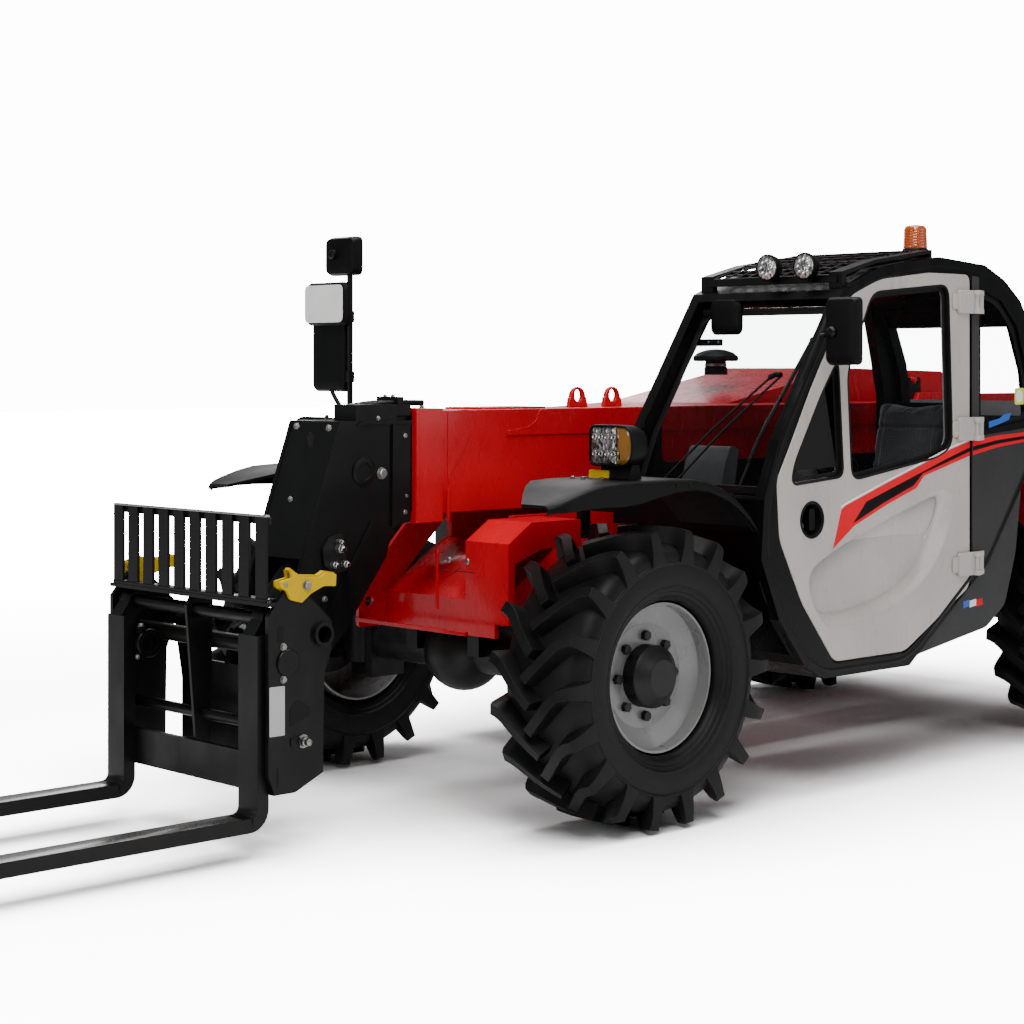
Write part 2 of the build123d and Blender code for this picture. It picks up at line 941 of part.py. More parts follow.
lamp_corner = 30
worklamp_radius = 50
worklamp_ys = (646, 821)
headlamp_y, headlamp_z = (640, 900), (1205, 1345)  # from, to
tail_lamp_y, tail_lamp_height = (660, 880), 100
with BuildPart() as lamps:
    # Work lamps on the front roof bar
    for y in worklamp_ys:
        length_bar(front_axle_x - 950 + running_gap, front_axle_x - 890, y, 1907, worklamp_radius)
    for side in (1, -1):
        # Headlamps on the front fenders, each on its foot
        low, high = sorted(side * y for y in headlamp_y)
        front_slab(
            [(low, headlamp_z[0]), (high, headlamp_z[0]), (high, headlamp_z[1]), (low, headlamp_z[1])],
            front_axle_x + 20,
            front_axle_x + 120,
            rounding=lamp_corner,
        )
        foot = fender_top + running_gap
        brick(front_axle_x + 40, front_axle_x + 90, low + 80, high - 80, foot, headlamp_z[0] + 5)
        # Tail lamps on the counterweights
        low, high = sorted(side * y for y in tail_lamp_y)
        tail_low = frame_top + running_gap
        tail_high = frame_top + tail_lamp_height
        brick(rear_face_x + 20, rear_face_x + 70, low, high, tail_low, tail_high)
save(lamps.part, "lamps")

with BuildPart() as beacon:
    upright(front_axle_x - 1600, 800, 45, 1955, 1990)
    upright(front_axle_x - 1600, 800, 60, 1988, 2090)
save(beacon.part, "beacon")

mirror_corner = 20
mirror_left = [(1020, 1545), (1165, 1545), (1165, 1785), (1020, 1785)]
mirror_right = [(-1120, 1440), (-900, 1440), (-900, 1800), (-1120, 1800)]
mirror_upper = [(-980, 1930), (-850, 1930), (-850, 2050), (-980, 2050)]
with BuildPart() as mirrors:
    # Left mirror, ahead of the door on an arm from the front pillar
    front_slab(mirror_left, front_axle_x - 795, front_axle_x - 760, rounding=mirror_corner)
    brick(front_axle_x - 840, front_axle_x - 790, cab_outer_y + running_gap, 995, 1640, 1660)
    brick(front_axle_x - 800, front_axle_x - 780, 980, 1025, 1640, 1660)
    # Right mirrors on a stalk from the right fender
    for outline in (mirror_right, mirror_upper):
        front_slab(outline, front_axle_x - 170, front_axle_x - 130, rounding=mirror_corner)
    upright(front_axle_x - 150, -890, 12, fender_top + running_gap, 2000)
save(mirrors.part, "mirrors")

# ---- Engine, its bay and the hood ----
bay_wall = 15
bay_low = 430
with BuildPart() as engine_bay:
    brick(
        rear_axle_x + bay_rear,
        front_axle_x + bay_front,
        hood_outer_y,
        hood_inner_y - 10,
        bay_low,
        bay_top,
    )
    brick(
        rear_axle_x + bay_rear + bay_wall,
        front_axle_x + bay_front - bay_wall,
        hood_outer_y + bay_wall,
        hood_inner_y - 10 - bay_wall,
        bay_low + bay_wall,
        bay_top + 1,
        mode=Mode.SUBTRACT,
    )
save(engine_bay.part, "engine_bay")

with BuildPart() as engine_block:
    brick(
        rear_axle_x + 870,
        front_axle_x - 1050,
        -800,
        -360,
        bay_low + bay_wall + running_gap,
        bay_top - 40,
    )
save(engine_block.part, "engine_block")

hood_low = bay_top + 10
hood_outline = (
    front([(bay_front, hood_low), (-700, 1290), (-900, 1345), (-1700, 1385)])
    + rear([(320, 1535), (-430, 1520), (-620, 1350), (frame_end, hood_low)])
)
hood_inside = (
    front([(bay_front - 15, 1000), (bay_front - 15, 1140), (-712, 1280), (-900, 1332), (-1700, 1373)])
    + rear([(320, 1522), (-423, 1507), (-608, 1345), (frame_end + 15, 1140), (frame_end + 15, 1000)])
)
with BuildPart() as hood:
    side_slab(hood_outline, hood_outer_y, hood_inner_y)
    outer_face = hood.faces().sort_by(Axis.Y)[0]
    fillet([edge for edge in outer_face.edges() if edge.center().Z > hood_low + 1], hood_edge)
    side_slab(hood_inside, hood_outer_y + hood_wall, hood_inner_y - hood_wall, mode=Mode.SUBTRACT)
    for index in range(louvre_count):
        x = rear_axle_x + louvre_start + index * louvre_pitch
        brick(
            x,
            x + louvre_width,
            hood_outer_y - 1,
            hood_outer_y + hood_wall + 1,
            louvre_low,
            louvre_high,
            mode=Mode.SUBTRACT,
        )
    for x in hood_hinges:
        start = rear_axle_x + x - 22
        end = rear_axle_x + x + 22
        length_bar(start, end, hood_hinge_y, hood_hinge_z, hood_hinge_radius)
        brick(start, end, hood_inner_y, hood_hinge_y, hood_hinge_z - 8, hood_hinge_z + 8)
        length_bar(
            start - 1,
            end + 1,
            hood_hinge_y,
            hood_hinge_z,
            hood_pin_radius + pin_gap,
            mode=Mode.SUBTRACT,
        )
save(hood.part, "hood")

# ---- Left rear cowl over the rear wheel ----
cowl_wall = 12
cowl_inner_y = plate_outer_left + boss_height + 4 + running_gap
with BuildPart() as rear_cowl:
    side_slab(
        front([(-2240, 1340), (-2240, 1210), (-2400, 1070)])
        + rear([(-640, 1070), (-620, 1290), (-480, 1380)])
        + front([(-2300, 1400)]),
        cowl_inner_y,
        cab_outer_y - 10,
    )
    side_slab(
        front([(-2252, 1335), (-2252, 1216), (-2405, 1082), (-2405, 1060)])
        + rear([(-627, 1060), (-608, 1284), (-475, 1368)])
        + front([(-2305, 1388)]),
        cowl_inner_y + cowl_wall,
        cab_outer_y - 10 - cowl_wall,
        mode=Mode.SUBTRACT,
    )
save(rear_cowl.part, "rear_cowl")

# ---- Fenders over the front wheels, each on a bracket from the frame ----
fender_sheet = 16
bracket_top = fender_top - fender_sheet - running_gap
fender_line = front(
    [
        (513, 1100),
        (300, fender_top),
        (-200, fender_top),
        (-370, 1100),
        (-480, 985),
    ]
)
with BuildPart() as fenders:
    for side in (1, -1):
        low, high = sorted((side * 600, side * 960))
        bent_sheet(fender_line, fender_sheet, 90, low, high)
        plate_y = plate_outer_left + running_gap if side > 0 else plate_outer_right - running_gap
        front_slab(
            [
                (plate_y, 930),
                (plate_y + side * 30, 930),
                (plate_y + side * 30, 1030),
                (side * 660, 1030),
                (side * 660, bracket_top),
                (side * 620, bracket_top),
                (side * 620, 1060),
                (plate_y, 1060),
            ],
            front_axle_x - 190,
            front_axle_x - 150,
        )
save(fenders.part, "fenders")

# ---- Cab interior ----
seat_base = 800
cushion_top = 930
with BuildPart() as seat:
    brick(front_axle_x - 1770, front_axle_x - 1330, 400, 860, seat_base, cushion_top)
    back_low = cushion_top + running_gap
    side_slab(front([(-1690, back_low), (-1780, back_low), (-1900, 1400), (-1800, 1420)]), 420, 840)
    pedestal_top = seat_base - running_gap
    side_slab(
        front([(-1400, 538.8), (-1400, pedestal_top), (-1740, pedestal_top), (-1740, 777.8)]),
        480,
        780,
    )
save(seat.part, "seat")

with BuildPart() as controls:
    # Steering column with its wheel
    side_slab(front([(-880, 475), (-940, 475), (-1210, 1150), (-1150, 1175)]), 570, 650)
    wheel_hub = Plane(origin=(front_axle_x - 1200, 610, 1180), x_dir=(0, 1, 0), z_dir=(-0.42, 0, 0.9))
    with BuildSketch(wheel_hub) as steering:
        Circle(175)
        Circle(150, mode=Mode.SUBTRACT)
        Rectangle(310, 30)
        Rectangle(30, 310)
    extrude(steering.sketch, amount=25)
    side_slab(front([(-1160, 1140), (-1200, 1130), (-1225, 1185), (-1180, 1205)]), 580, 640)
    # Instrument pod on the cowl
    side_slab(
        front([(-722, 991.5), (-640, 1006.5), (-690, 1190), (-720, 1250), (-770, 1240), (-740, 1100)]),
        420,
        620,
    )
save(controls.part, "controls")

# ---- Boom ----
half = boom_width / 2
boom_back_x = boom_pivot_at[0] + 90
boom_front_x = front_axle_x + boom_front
collar_wall = 12
pad_thickness = pad_gap - running_gap
pad_length = 110
pad_low, pad_high = 1150, 1250  # side pads
pad_half_width = 60  # top and bottom pads
hinge_plate = 30
hinge_boss = 85
ear_plate = 20
lift_eye_at = (boom_pivot_at[0] - boom_pivot[0] + lift_rod_eye[0], lift_rod_eye[1])
with BuildPart() as outer_boom:
    brick(boom_back_x, boom_front_x, boom_y - half, boom_y + half, boom_bottom, boom_top)
    brick(
        boom_front_x - collar_length,
        boom_front_x,
        boom_y - half - collar_wall,
        boom_y + half + collar_wall,
        boom_bottom - 30,
        boom_top + 8,
    )
    brick(
        boom_back_x - 1,
        boom_front_x + 1,
        boom_y - half + boom_wall,
        boom_y + half - boom_wall,
        boom_bottom + boom_wall,
        boom_top - boom_wall,
        mode=Mode.SUBTRACT,
    )
    # Wear pads inside the collar
    pad_start, pad_end = boom_front_x - 10 - pad_length, boom_front_x - 10
    for side in (1, -1):
        wall_y = boom_y + side * (half - boom_wall)
        low, high = sorted((wall_y, wall_y - side * pad_thickness))
        brick(pad_start, pad_end, low, high, pad_low, pad_high)
    for z_low in (boom_bottom + boom_wall, boom_top - boom_wall - pad_thickness):
        brick(
            pad_start,
            pad_end,
            boom_y - pad_half_width,
            boom_y + pad_half_width,
            z_low,
            z_low + pad_thickness,
        )
    # Rear hinge plates
    pivot_x, pivot_z = boom_pivot_at
    for y_low in (boom_y - half, boom_y + half - hinge_plate):
        side_slab(
            [
                (boom_back_x, boom_bottom),
                (boom_back_x, boom_top),
                (pivot_x, boom_top),
                (pivot_x - hinge_boss, pivot_z),
                (pivot_x, pivot_z - hinge_boss),
            ],
            y_low,
            y_low + hinge_plate,
        )
        cross_bar(boom_pivot_at, hinge_boss, y_low, y_low + hinge_plate)
        cross_bar(
            boom_pivot_at,
            boom_pin_radius + pin_gap,
            y_low - 1,
            y_low + hinge_plate + 1,
            mode=Mode.SUBTRACT,
        )
    # Ears under the boom that hold the lift cylinder's pin
    eye_x, eye_z = lift_eye_at
    for y_low in (boom_y - eye_width / 2 - swing_gap - ear_plate, boom_y + eye_width / 2 + swing_gap):
        side_slab(
            [
                (eye_x - 110, boom_bottom),
                (eye_x + 110, boom_bottom),
                (eye_x + 45, eye_z - 40),
                (eye_x - 45, eye_z - 40),
            ],
            y_low,
            y_low + ear_plate,
        )
save(outer_boom.part, "outer_boom")

# ---- Lifting eyes on the boom's top plate ----
eye_hole_radius = 20
eye_half_thickness = 8
eye_height = 78
with BuildPart() as lifting_eyes:
    for x in (-773, -582):
        foot, eye_top = boom_top + running_gap, boom_top + eye_height
        side_slab(
            front([(x - 55, foot), (x + 55, foot), (x + 25, eye_top), (x - 25, eye_top)]),
            boom_y - eye_half_thickness,
            boom_y + eye_half_thickness,
        )
        cross_bar(
            front([(x, boom_top + 45)])[0],
            eye_hole_radius,
            boom_y - eye_half_thickness - 1,
            boom_y + eye_half_thickness + 1,
            mode=Mode.SUBTRACT,
        )
save(lifting_eyes.part, "lifting_eyes")

inner_half = half - boom_wall - pad_gap
inner_low = boom_bottom + boom_wall + pad_gap
inner_high = boom_top - boom_wall - pad_gap
inner_rear_x = rear_axle_x - 130
inner_front = 72  # ahead of the outer boom's front face
inner_front_x = boom_front_x + inner_front
with BuildPart() as inner_boom:
    brick(inner_rear_x, inner_front_x, boom_y - inner_half, boom_y + inner_half, inner_low, inner_high)
    brick(
        inner_rear_x - 1,
        inner_front_x + 1,
        boom_y - inner_half + boom_wall,
        boom_y + inner_half - boom_wall,
        inner_low + boom_wall,
        inner_high - boom_wall,
        mode=Mode.SUBTRACT,
    )
    # Rear wear pads that slide inside the outer boom
    for side in (1, -1):
        wall_y = boom_y + side * inner_half
        low, high = sorted((wall_y, wall_y + side * pad_thickness))
        brick(inner_rear_x, inner_rear_x + pad_length, low, high, pad_low, pad_high)
    for z_low in (inner_low - pad_thickness, inner_high):
        brick(
            inner_rear_x,
            inner_rear_x + pad_length,
            boom_y - pad_half_width,
            boom_y + pad_half_width,
            z_low,
            z_low + pad_thickness,
        )
save(inner_boom.part, "inner_boom")

# ---- Boom head: two plates that reach down to the carrier's pivot ----
head_top = boom_top - 32
head_rear_x = boom_front_x + 10
head_outline = (
    [(head_rear_x, head_top)]
    + tool([(-557, head_top), (-388, 868), (-288, 520), (-296, 410), (-365, 415), (-484, 545), (-579, 640)])
    + [(boom_front_x + 120, 886), (boom_front_x + 89, 986), (head_rear_x, 1000)]
)
carrier_pivot_at = tool([carrier_pivot])[0]
tilt_base_at = front([tilt_base])[0]
tilt_rod_eye_at = tool([tilt_rod_eye])[0]
head_half = inner_half + running_gap
carrier_boss = 60
bracket_low_y, bracket_high_y = boom_y + 20, boom_y + 140
bracket_end_x = boom_front_x + 255
with BuildPart() as boom_head:
    for y_low in (boom_y - head_half - head_plate, boom_y + head_half):
        side_slab(head_outline, y_low, y_low + head_plate)
        cross_bar(carrier_pivot_at, carrier_boss, y_low, y_low + head_plate)
    brick(
        inner_front_x + running_gap,
        inner_front_x + 16,
        boom_y - head_half,
        boom_y + head_half,
        1000,
        head_top,
    )
    side_slab(
        [(inner_front_x + 10, head_top - 8)]
        + tool([(-566, head_top - 8), (-408, 890), (-400, 895), (-560, head_top)])
        + [(inner_front_x + 10, head_top)],
        boom_y - head_half,
        boom_y + head_half,
    )
    pin_reach = head_half + head_plate + 10
    cross_bar(carrier_pivot_at, carrier_pin_radius, boom_y - pin_reach, boom_y + pin_reach)
    cross_bar(tilt_base_at, tilt_pin_radius, boom_y - head_half, boom_y + head_half)
    # Hose bracket on top
    brick(
        head_rear_x,
        bracket_end_x,
        bracket_low_y,
        bracket_high_y,
        inner_high + running_gap,
        boom_top + 24,
    )
    brick(
        inner_front_x + running_gap,
        bracket_end_x,
        bracket_low_y,
        bracket_high_y,
        head_top,
        head_top + 27,
    )
save(boom_head.part, "boom_head")


# ---- Cylinders ----
def cylinder_plane(start, end):
    """Plane at the base eye whose Z runs along the cylinder."""
    run = Vector(end[0] - start[0], 0, end[1] - start[1])
    return Plane(origin=(start[0], boom_y, start[1]), x_dir=(0, 1, 0), z_dir=run)


def barrel(start, end, radius, length, rod_radius, pin_radius, width):
    """Cylinder tube with its base eye, bored for the rod."""
    plane = cylinder_plane(start, end)
    with BuildPart() as body:
        with BuildSketch(plane.offset(pin_radius + 5)) as outside:
            Circle(radius)
        extrude(outside.sketch, amount=length - pin_radius - 5)
        cross_bar(start, pin_radius + 25, boom_y - width / 2, boom_y + width / 2)
        with BuildSketch(plane.offset(pin_radius + 40)) as bore:
            Circle(rod_radius + pin_gap)
        extrude(bore.sketch, amount=length, mode=Mode.SUBTRACT)
        cross_bar(
            start,
            pin_radius + pin_gap,
            boom_y - radius - 1,
            boom_y + radius + 1,
            mode=Mode.SUBTRACT,
        )
    return body.part


def rod(start, end, rod_radius, pin_radius, width, back):
    """Piston rod from inside the tube to its own eye."""
    plane = cylinder_plane(start, end)
    span = hypot(end[0] - start[0], end[1] - start[1])
    with BuildPart() as body:
        with BuildSketch(plane.offset(back)) as shank:
            Circle(rod_radius)
        extrude(shank.sketch, amount=span - back - pin_radius)
        cross_bar(end, pin_radius + 17, boom_y - width / 2, boom_y + width / 2)
        cross_bar(
            end,
            pin_radius + 1,
            boom_y - width / 2 - 1,
            boom_y + width / 2 + 1,
            mode=Mode.SUBTRACT,
        )
    return body.part


# name, base, rod eye, tube radius, tube length, rod radius, pin radius, eye width, rod's inner end
for name, base, eye, radius, length, rod_radius, pin_radius, width, back in (
    (
        "lift",
        lift_base_at,
        lift_eye_at,
        lift_barrel_radius,
        lift_barrel_length,
        lift_rod_radius,
        cylinder_pin_radius,
        eye_width,
        90,
    ),
    (
        "tilt",
        tilt_base_at,
        tilt_rod_eye_at,
        tilt_barrel_radius,
        tilt_barrel_length,
        tilt_rod_radius,
        tilt_pin_radius,
        tilt_eye_width,
        110,
    ),
):
    save(barrel(base, eye, radius, length, rod_radius, pin_radius, width), f"{name}_barrel")
    save(rod(base, eye, rod_radius, pin_radius, width, back), f"{name}_rod")

# ---- Tool carrier: two ears on the pivot, a face plate and hooks under the hitch tube ----
ear_inner = tilt_barrel_radius + swing_gap
ear_thickness = 25
hitch_tube_at = tool([hitch_tube])[0]
carrier_face = carriage_x - 238
carrier_low, carrier_high = 250, 545
carrier_half_width = 330
hook_y = 280
hook_half_thickness = 15
ear_outline = tool(
    [
        (-365, 410),
        (-350, 600),
        (-335, 660),
        (-300, 680),
        (-260, 660),
        (-238, carrier_high),
        (-238, carrier_low),
        (-290, carrier_low),
        (-300, 390),
    ]
)
hook_outline = tool(
    [
        (-275, carrier_low),
        (-250, carrier_low),
        (-188, 640),
        (-188, hitch_tube[1]),
        (-300, hitch_tube[1]),
        (-300, carrier_high),
    ]
)
with BuildPart() as tool_carrier:
    for side in (1, -1):
        low, high = sorted((boom_y + side * ear_inner, boom_y + side * (ear_inner + ear_thickness)))
        side_slab(ear_outline, low, high)
        cross_bar(carrier_pivot_at, carrier_boss, low, high)
        cross_bar(
            carrier_pivot_at,
            carrier_pin_radius + pin_gap,
            low - 1,
            high + 1,
            mode=Mode.SUBTRACT,
        )
        cross_bar(tilt_rod_eye_at, tilt_pin_radius + 12, low, high)
    brick(
        carrier_face - 14,
        carrier_face,
        boom_y - carrier_half_width,
        boom_y + carrier_half_width,
        carrier_low,
        carrier_high,
    )
    for y in (boom_y - hook_y, boom_y + hook_y):
        side_slab(hook_outline, y - hook_half_thickness, y + hook_half_thickness)
        cross_bar(
            hitch_tube_at,
            hitch_tube_radius + running_gap,
            y - hook_half_thickness - 1,
            y + hook_half_thickness + 1,
            mode=Mode.SUBTRACT,
        )
save(tool_carrier.part, "tool_carrier")

# ---- Fork frame ----
frame_face = -fork_thickness - running_gap  # from the carriage face
side_plate_outline = tool(
    [
        (-245, 560),
        (-275, 640),
        (-275, 730),
        (-200, 800),
        (-130, 850),
        (-100, 850),
        (-25, 760),
        (-25, 260),
        (-50, 200),
        (-130, 200),
        (-240, 250),
    ]
)
fork_shaft_at = tool([fork_shaft])[0]
frame_y_low = boom_y - carriage_half_width
frame_y_high = boom_y + carriage_half_width
tube_gap = 95  # half the free width for the tilt cylinder
with BuildPart() as fork_frame:
    for y_low in (frame_y_low, frame_y_high - carriage_plate):
        side_slab(side_plate_outline, y_low, y_low + carriage_plate)
    for low, high in ((frame_y_low - 15, boom_y - tube_gap), (boom_y + tube_gap, frame_y_high + 15)):
        cross_bar(hitch_tube_at, hitch_tube_radius, low, high)
        cross_bar(hitch_tube_at, hitch_tube_radius - 11, low - 1, high + 1, mode=Mode.SUBTRACT)
    # offset from the carriage face, height, radius of the cross bars
    for x, z, radius in ((*fork_shaft, fork_shaft_radius), (-140, 640, 28), (-100, 400, 18)):
        cross_bar(tool([(x, z)])[0], radius, frame_y_low, frame_y_high)
    brick(
        carriage_x + frame_face - 18,
        carriage_x + frame_face,
        frame_y_low,
        frame_y_high,
        200,
        320,
    )
    brick(carriage_x - 130, carriage_x - 25, frame_y_low, frame_y_high, 790, 802)
    side_slab(
        tool([(-130, 802), (-50, 802), (-25, 760), (-63, 300), (-63, 200), (-90, 200), (-120, 300)]),
        boom_y - 6,
        boom_y + 6,
    )
save(fork_frame.part, "fork_frame")

guard_foot = 802 + running_gap
with BuildPart() as load_guard:
    guard_low = frame_y_low + carriage_plate + running_gap
    guard_high = frame_y_high - carriage_plate - running_gap
    brick(carriage_x - 70, carriage_x - 26, guard_low, guard_high, guard_foot, guard_foot + 10)
    guard_pitch = (guard_high - guard_low - guard_bar_width) / guard_bars
    for index in range(guard_bars + 1):
        bar_y = guard_low + index * guard_pitch
        brick(
            carriage_x - 38,
            carriage_x - 28,
            bar_y,
            bar_y + guard_bar_width,
            guard_foot + 5,
            guard_top,
        )
save(load_guard.part, "load_guard")

# ---- Forks: forged shank and blade with a tapered point, hung on the shaft ----
shank_top = 700
blade_low = fork_blade_top - fork_thickness
taper_length = 300
heel_radius = 25
hook_radius = fork_shaft_radius + 14
fork_outline = tool(
    [
        (-fork_thickness, shank_top),
        (0, shank_top),
        (0, fork_blade_top),
        (fork_length, fork_blade_top),
        (fork_length, fork_blade_top - fork_tip),
        (fork_length - taper_length, blade_low),
        (-fork_thickness, blade_low),
    ]
)
# Corner and radius: outside and inside of the heel
fork_bends = [
    ((carriage_x - fork_thickness, blade_low), fork_thickness + heel_radius),
    ((carriage_x, fork_blade_top), heel_radius),
]
with BuildPart() as forks:
    for side in (1, -1):
        y = boom_y + side * fork_spacing / 2
        rounded_slab(fork_outline, fork_bends, y - fork_width / 2, y + fork_width / 2)
        side_slab(
            [
                (carriage_x - fork_thickness, shank_top - 40),
                (carriage_x, shank_top - 1),
                (fork_shaft_at[0] + hook_radius, fork_shaft_at[1]),
                (fork_shaft_at[0] - hook_radius, fork_shaft_at[1]),
            ],
            y - fork_width / 2 + 20,
            y + fork_width / 2 - 20,
        )
        cross_bar(fork_shaft_at, hook_radius, y - fork_width / 2 + 20, y + fork_width / 2 - 20)
        cross_bar(
            fork_shaft_at,
            fork_shaft_radius + running_gap,
            y - fork_width / 2,
            y + fork_width / 2,
            mode=Mode.SUBTRACT,
        )
save(forks.part, "forks")

with BuildPart() as latches:
    latch = 12
    for y in (
        frame_y_low - latch - running_gap,
        frame_y_low + carriage_plate + running_gap,
        frame_y_high - carriage_plate - latch - running_gap,
        frame_y_high + running_gap,
    ):
        side_slab(
            tool([(-150, 880), (-140, 835), (-100, 835), (-75, 880), (-70, 905), (-190, 925), (-190, 905)]),
            y,
            y + latch,
        )
save(latches.part, "latches")
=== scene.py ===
"""Looks of the telehandler: finishes for the CAD nodes, and the detailed pieces that ride with them.

Shapes are given in millimetres: x forward from the front axle, y to the left, z up from the ground.
"""

import math

import bmesh
import bpy
from mathutils import Matrix, Vector


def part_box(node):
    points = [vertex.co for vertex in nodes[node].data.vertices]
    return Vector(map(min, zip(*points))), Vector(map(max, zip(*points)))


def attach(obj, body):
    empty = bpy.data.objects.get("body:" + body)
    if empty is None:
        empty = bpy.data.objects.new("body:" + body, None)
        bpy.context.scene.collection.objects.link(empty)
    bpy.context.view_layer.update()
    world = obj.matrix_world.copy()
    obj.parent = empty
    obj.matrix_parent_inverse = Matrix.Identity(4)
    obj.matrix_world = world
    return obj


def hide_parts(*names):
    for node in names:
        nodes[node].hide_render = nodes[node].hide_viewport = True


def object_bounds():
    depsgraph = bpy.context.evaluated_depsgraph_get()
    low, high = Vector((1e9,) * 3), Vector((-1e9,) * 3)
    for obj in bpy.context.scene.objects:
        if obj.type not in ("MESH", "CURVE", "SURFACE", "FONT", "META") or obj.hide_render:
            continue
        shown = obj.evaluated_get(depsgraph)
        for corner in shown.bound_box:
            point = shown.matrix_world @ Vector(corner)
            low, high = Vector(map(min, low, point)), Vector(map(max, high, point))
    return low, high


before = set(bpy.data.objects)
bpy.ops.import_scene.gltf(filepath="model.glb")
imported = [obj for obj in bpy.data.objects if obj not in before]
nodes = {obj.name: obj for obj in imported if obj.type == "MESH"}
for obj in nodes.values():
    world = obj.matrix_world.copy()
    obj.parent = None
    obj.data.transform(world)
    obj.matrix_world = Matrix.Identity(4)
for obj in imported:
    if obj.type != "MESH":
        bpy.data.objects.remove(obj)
cad_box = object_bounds()

METRE = 1000
X, Y, Z = Vector((1, 0, 0)), Vector((0, 1, 0)), Vector((0, 0, 1))

# ---- Places read from the frame, in its metres ----
tyre_low, tyre_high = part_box("front_left_tyre")
FRONT_X = (tyre_low.x + tyre_high.x) / 2
AXLE_Z = (tyre_low.z + tyre_high.z) / 2
REAR_X = sum(c.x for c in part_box("rear_left_tyre")) / 2
CORNERS = {
    "front_left": (FRONT_X, 1),
    "front_right": (FRONT_X, -1),
    "rear_left": (REAR_X, 1),
    "rear_right": (REAR_X, -1),
}


def place(x, y, z):
    """A point given in millimetres from the front axle, in the frame's metres."""
    return Vector((FRONT_X + x / METRE, y / METRE, z / METRE))


def extent(name):
    """Lowest and highest corner of a CAD node, in millimetres from the front axle."""
    return [(corner - X * FRONT_X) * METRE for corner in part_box(name)]


def add(name, data):
    """A new object in the scene."""
    thing = bpy.data.objects.new(name, data)
    bpy.context.scene.collection.objects.link(thing)
    return thing


def evaluated_mesh(holder):
    """The mesh that an object's modifiers or its curve come to. The object is removed."""
    mesh = bpy.data.meshes.new_from_object(holder.evaluated_get(bpy.context.evaluated_depsgraph_get()))
    bpy.data.objects.remove(holder)
    return mesh


# ---- Camera: level, long lens, raised horizon ----
FOCAL_LENGTH = 75.07
HORIZON_SHIFT = -0.1405
HEADING = 180 - 43.277


def make_camera():
    data = bpy.data.cameras.new("camera")
    data.sensor_width = 36
    data.lens = FOCAL_LENGTH
    data.shift_y = HORIZON_SHIFT
    data.clip_end = 200
    camera = add("camera", data)
    camera.location = place(5227.2, 5765.3, 1534.4)
    camera.rotation_euler = (math.radians(90), 0, math.radians(HEADING))
    bpy.context.scene.camera = camera


make_camera()


# ---- Node trees ----
class Graph:
    """A node tree being filled."""

    def __init__(self, owner):
        owner.use_nodes = True
        self.tree = owner.node_tree

    def put(self, node, inputs):
        """Inputs by name or number: each takes a value or another node's output."""
        for key, value in inputs.items():
            socket = node.inputs[key]
            if isinstance(value, bpy.types.NodeSocket):
                self.tree.links.new(value, socket)
            elif socket.type == "RGBA":
                socket.default_value = (*value, 1)
            else:
                socket.default_value = value
        return node

    def node(self, kind, inputs, **settings):
        node = self.tree.nodes.new("ShaderNode" + kind)
        for key, value in settings.items():
            setattr(node, key, value)
        return self.put(node, inputs)

    def blend(self, factor, first, second):
        """Mix of two shaders."""
        return self.node("MixShader", {"Fac": factor, 1: first, 2: second}).outputs["Shader"]


SHADER_INPUTS = {
    "color": "Base Color",
    "rough": "Roughness",
    "gloss": "Specular IOR Level",
    "metallic": "Metallic",
    "normal": "Normal",
    "coat": "Coat Weight",
    "coat_rough": "Coat Roughness",
    "sheen": "Sheen Weight",
    "clear": "Transmission Weight",
    "glow": "Emission Strength",
    "glow_color": "Emission Color",
}


class Finish(Graph):
    """A material being made. Its patterns lie in object space, so they stay with a piece that moves."""

    def __init__(self, name):
        self.material = bpy.data.materials.new(name)
        super().__init__(self.material)
        self.shader = self.tree.nodes["Principled BSDF"]
        self.even = self.coordinates((1, 1, 1))

    def coordinates(self, scale):
        source = self.node("TexCoord", {}).outputs["Object"]
        return self.node("Mapping", {"Vector": source, "Scale": scale}).outputs["Vector"]

    def noise(self, scale, detail=4, rough=0.55, vector=None):
        inputs = {"Vector": vector or self.even, "Scale": scale, "Detail": detail, "Roughness": rough}
        return self.node("TexNoise", inputs).outputs["Fac"]

    def ramp(self, value, low, high, low_out=0.0, high_out=1.0):
        inputs = {"Value": value, "From Min": low, "From Max": high, "To Min": low_out, "To Max": high_out}
        return self.node("MapRange", inputs).outputs["Result"]

    def mix(self, factor, first, second):
        """Mix of two colours."""
        return self.node("Mix", {0: factor, 6: first, 7: second}, data_type="RGBA").outputs[2]

    def bump(self, height, distance, strength, normal=None):
        inputs = {"Height": height, "Distance": distance, "Strength": strength}
        if normal:
            inputs["Normal"] = normal
        return self.node("Bump", inputs).outputs["Normal"]

    def look(self, **inputs):
        """Values or outputs for the shader, under the names of SHADER_INPUTS."""
        self.put(self.shader, {SHADER_INPUTS[key]: value for key, value in inputs.items()})
        return self.material


def shade(color, factor):
    return tuple(c * factor for c in color)


# ---- Kinds of finish ----
ORANGE_PEEL = 0.00012
ENAMEL_DUST = (0.20, 0.19, 0.18)
SCUFF = (0.16, 0.155, 0.15)
TYRE_DUST = (0.012, 0.0118, 0.0115)
SOOT = (0.0035, 0.0035, 0.0037)
GRIME = (0.009, 0.0088, 0.0085)
CLOTH_GREY = (0.025, 0.025, 0.027)


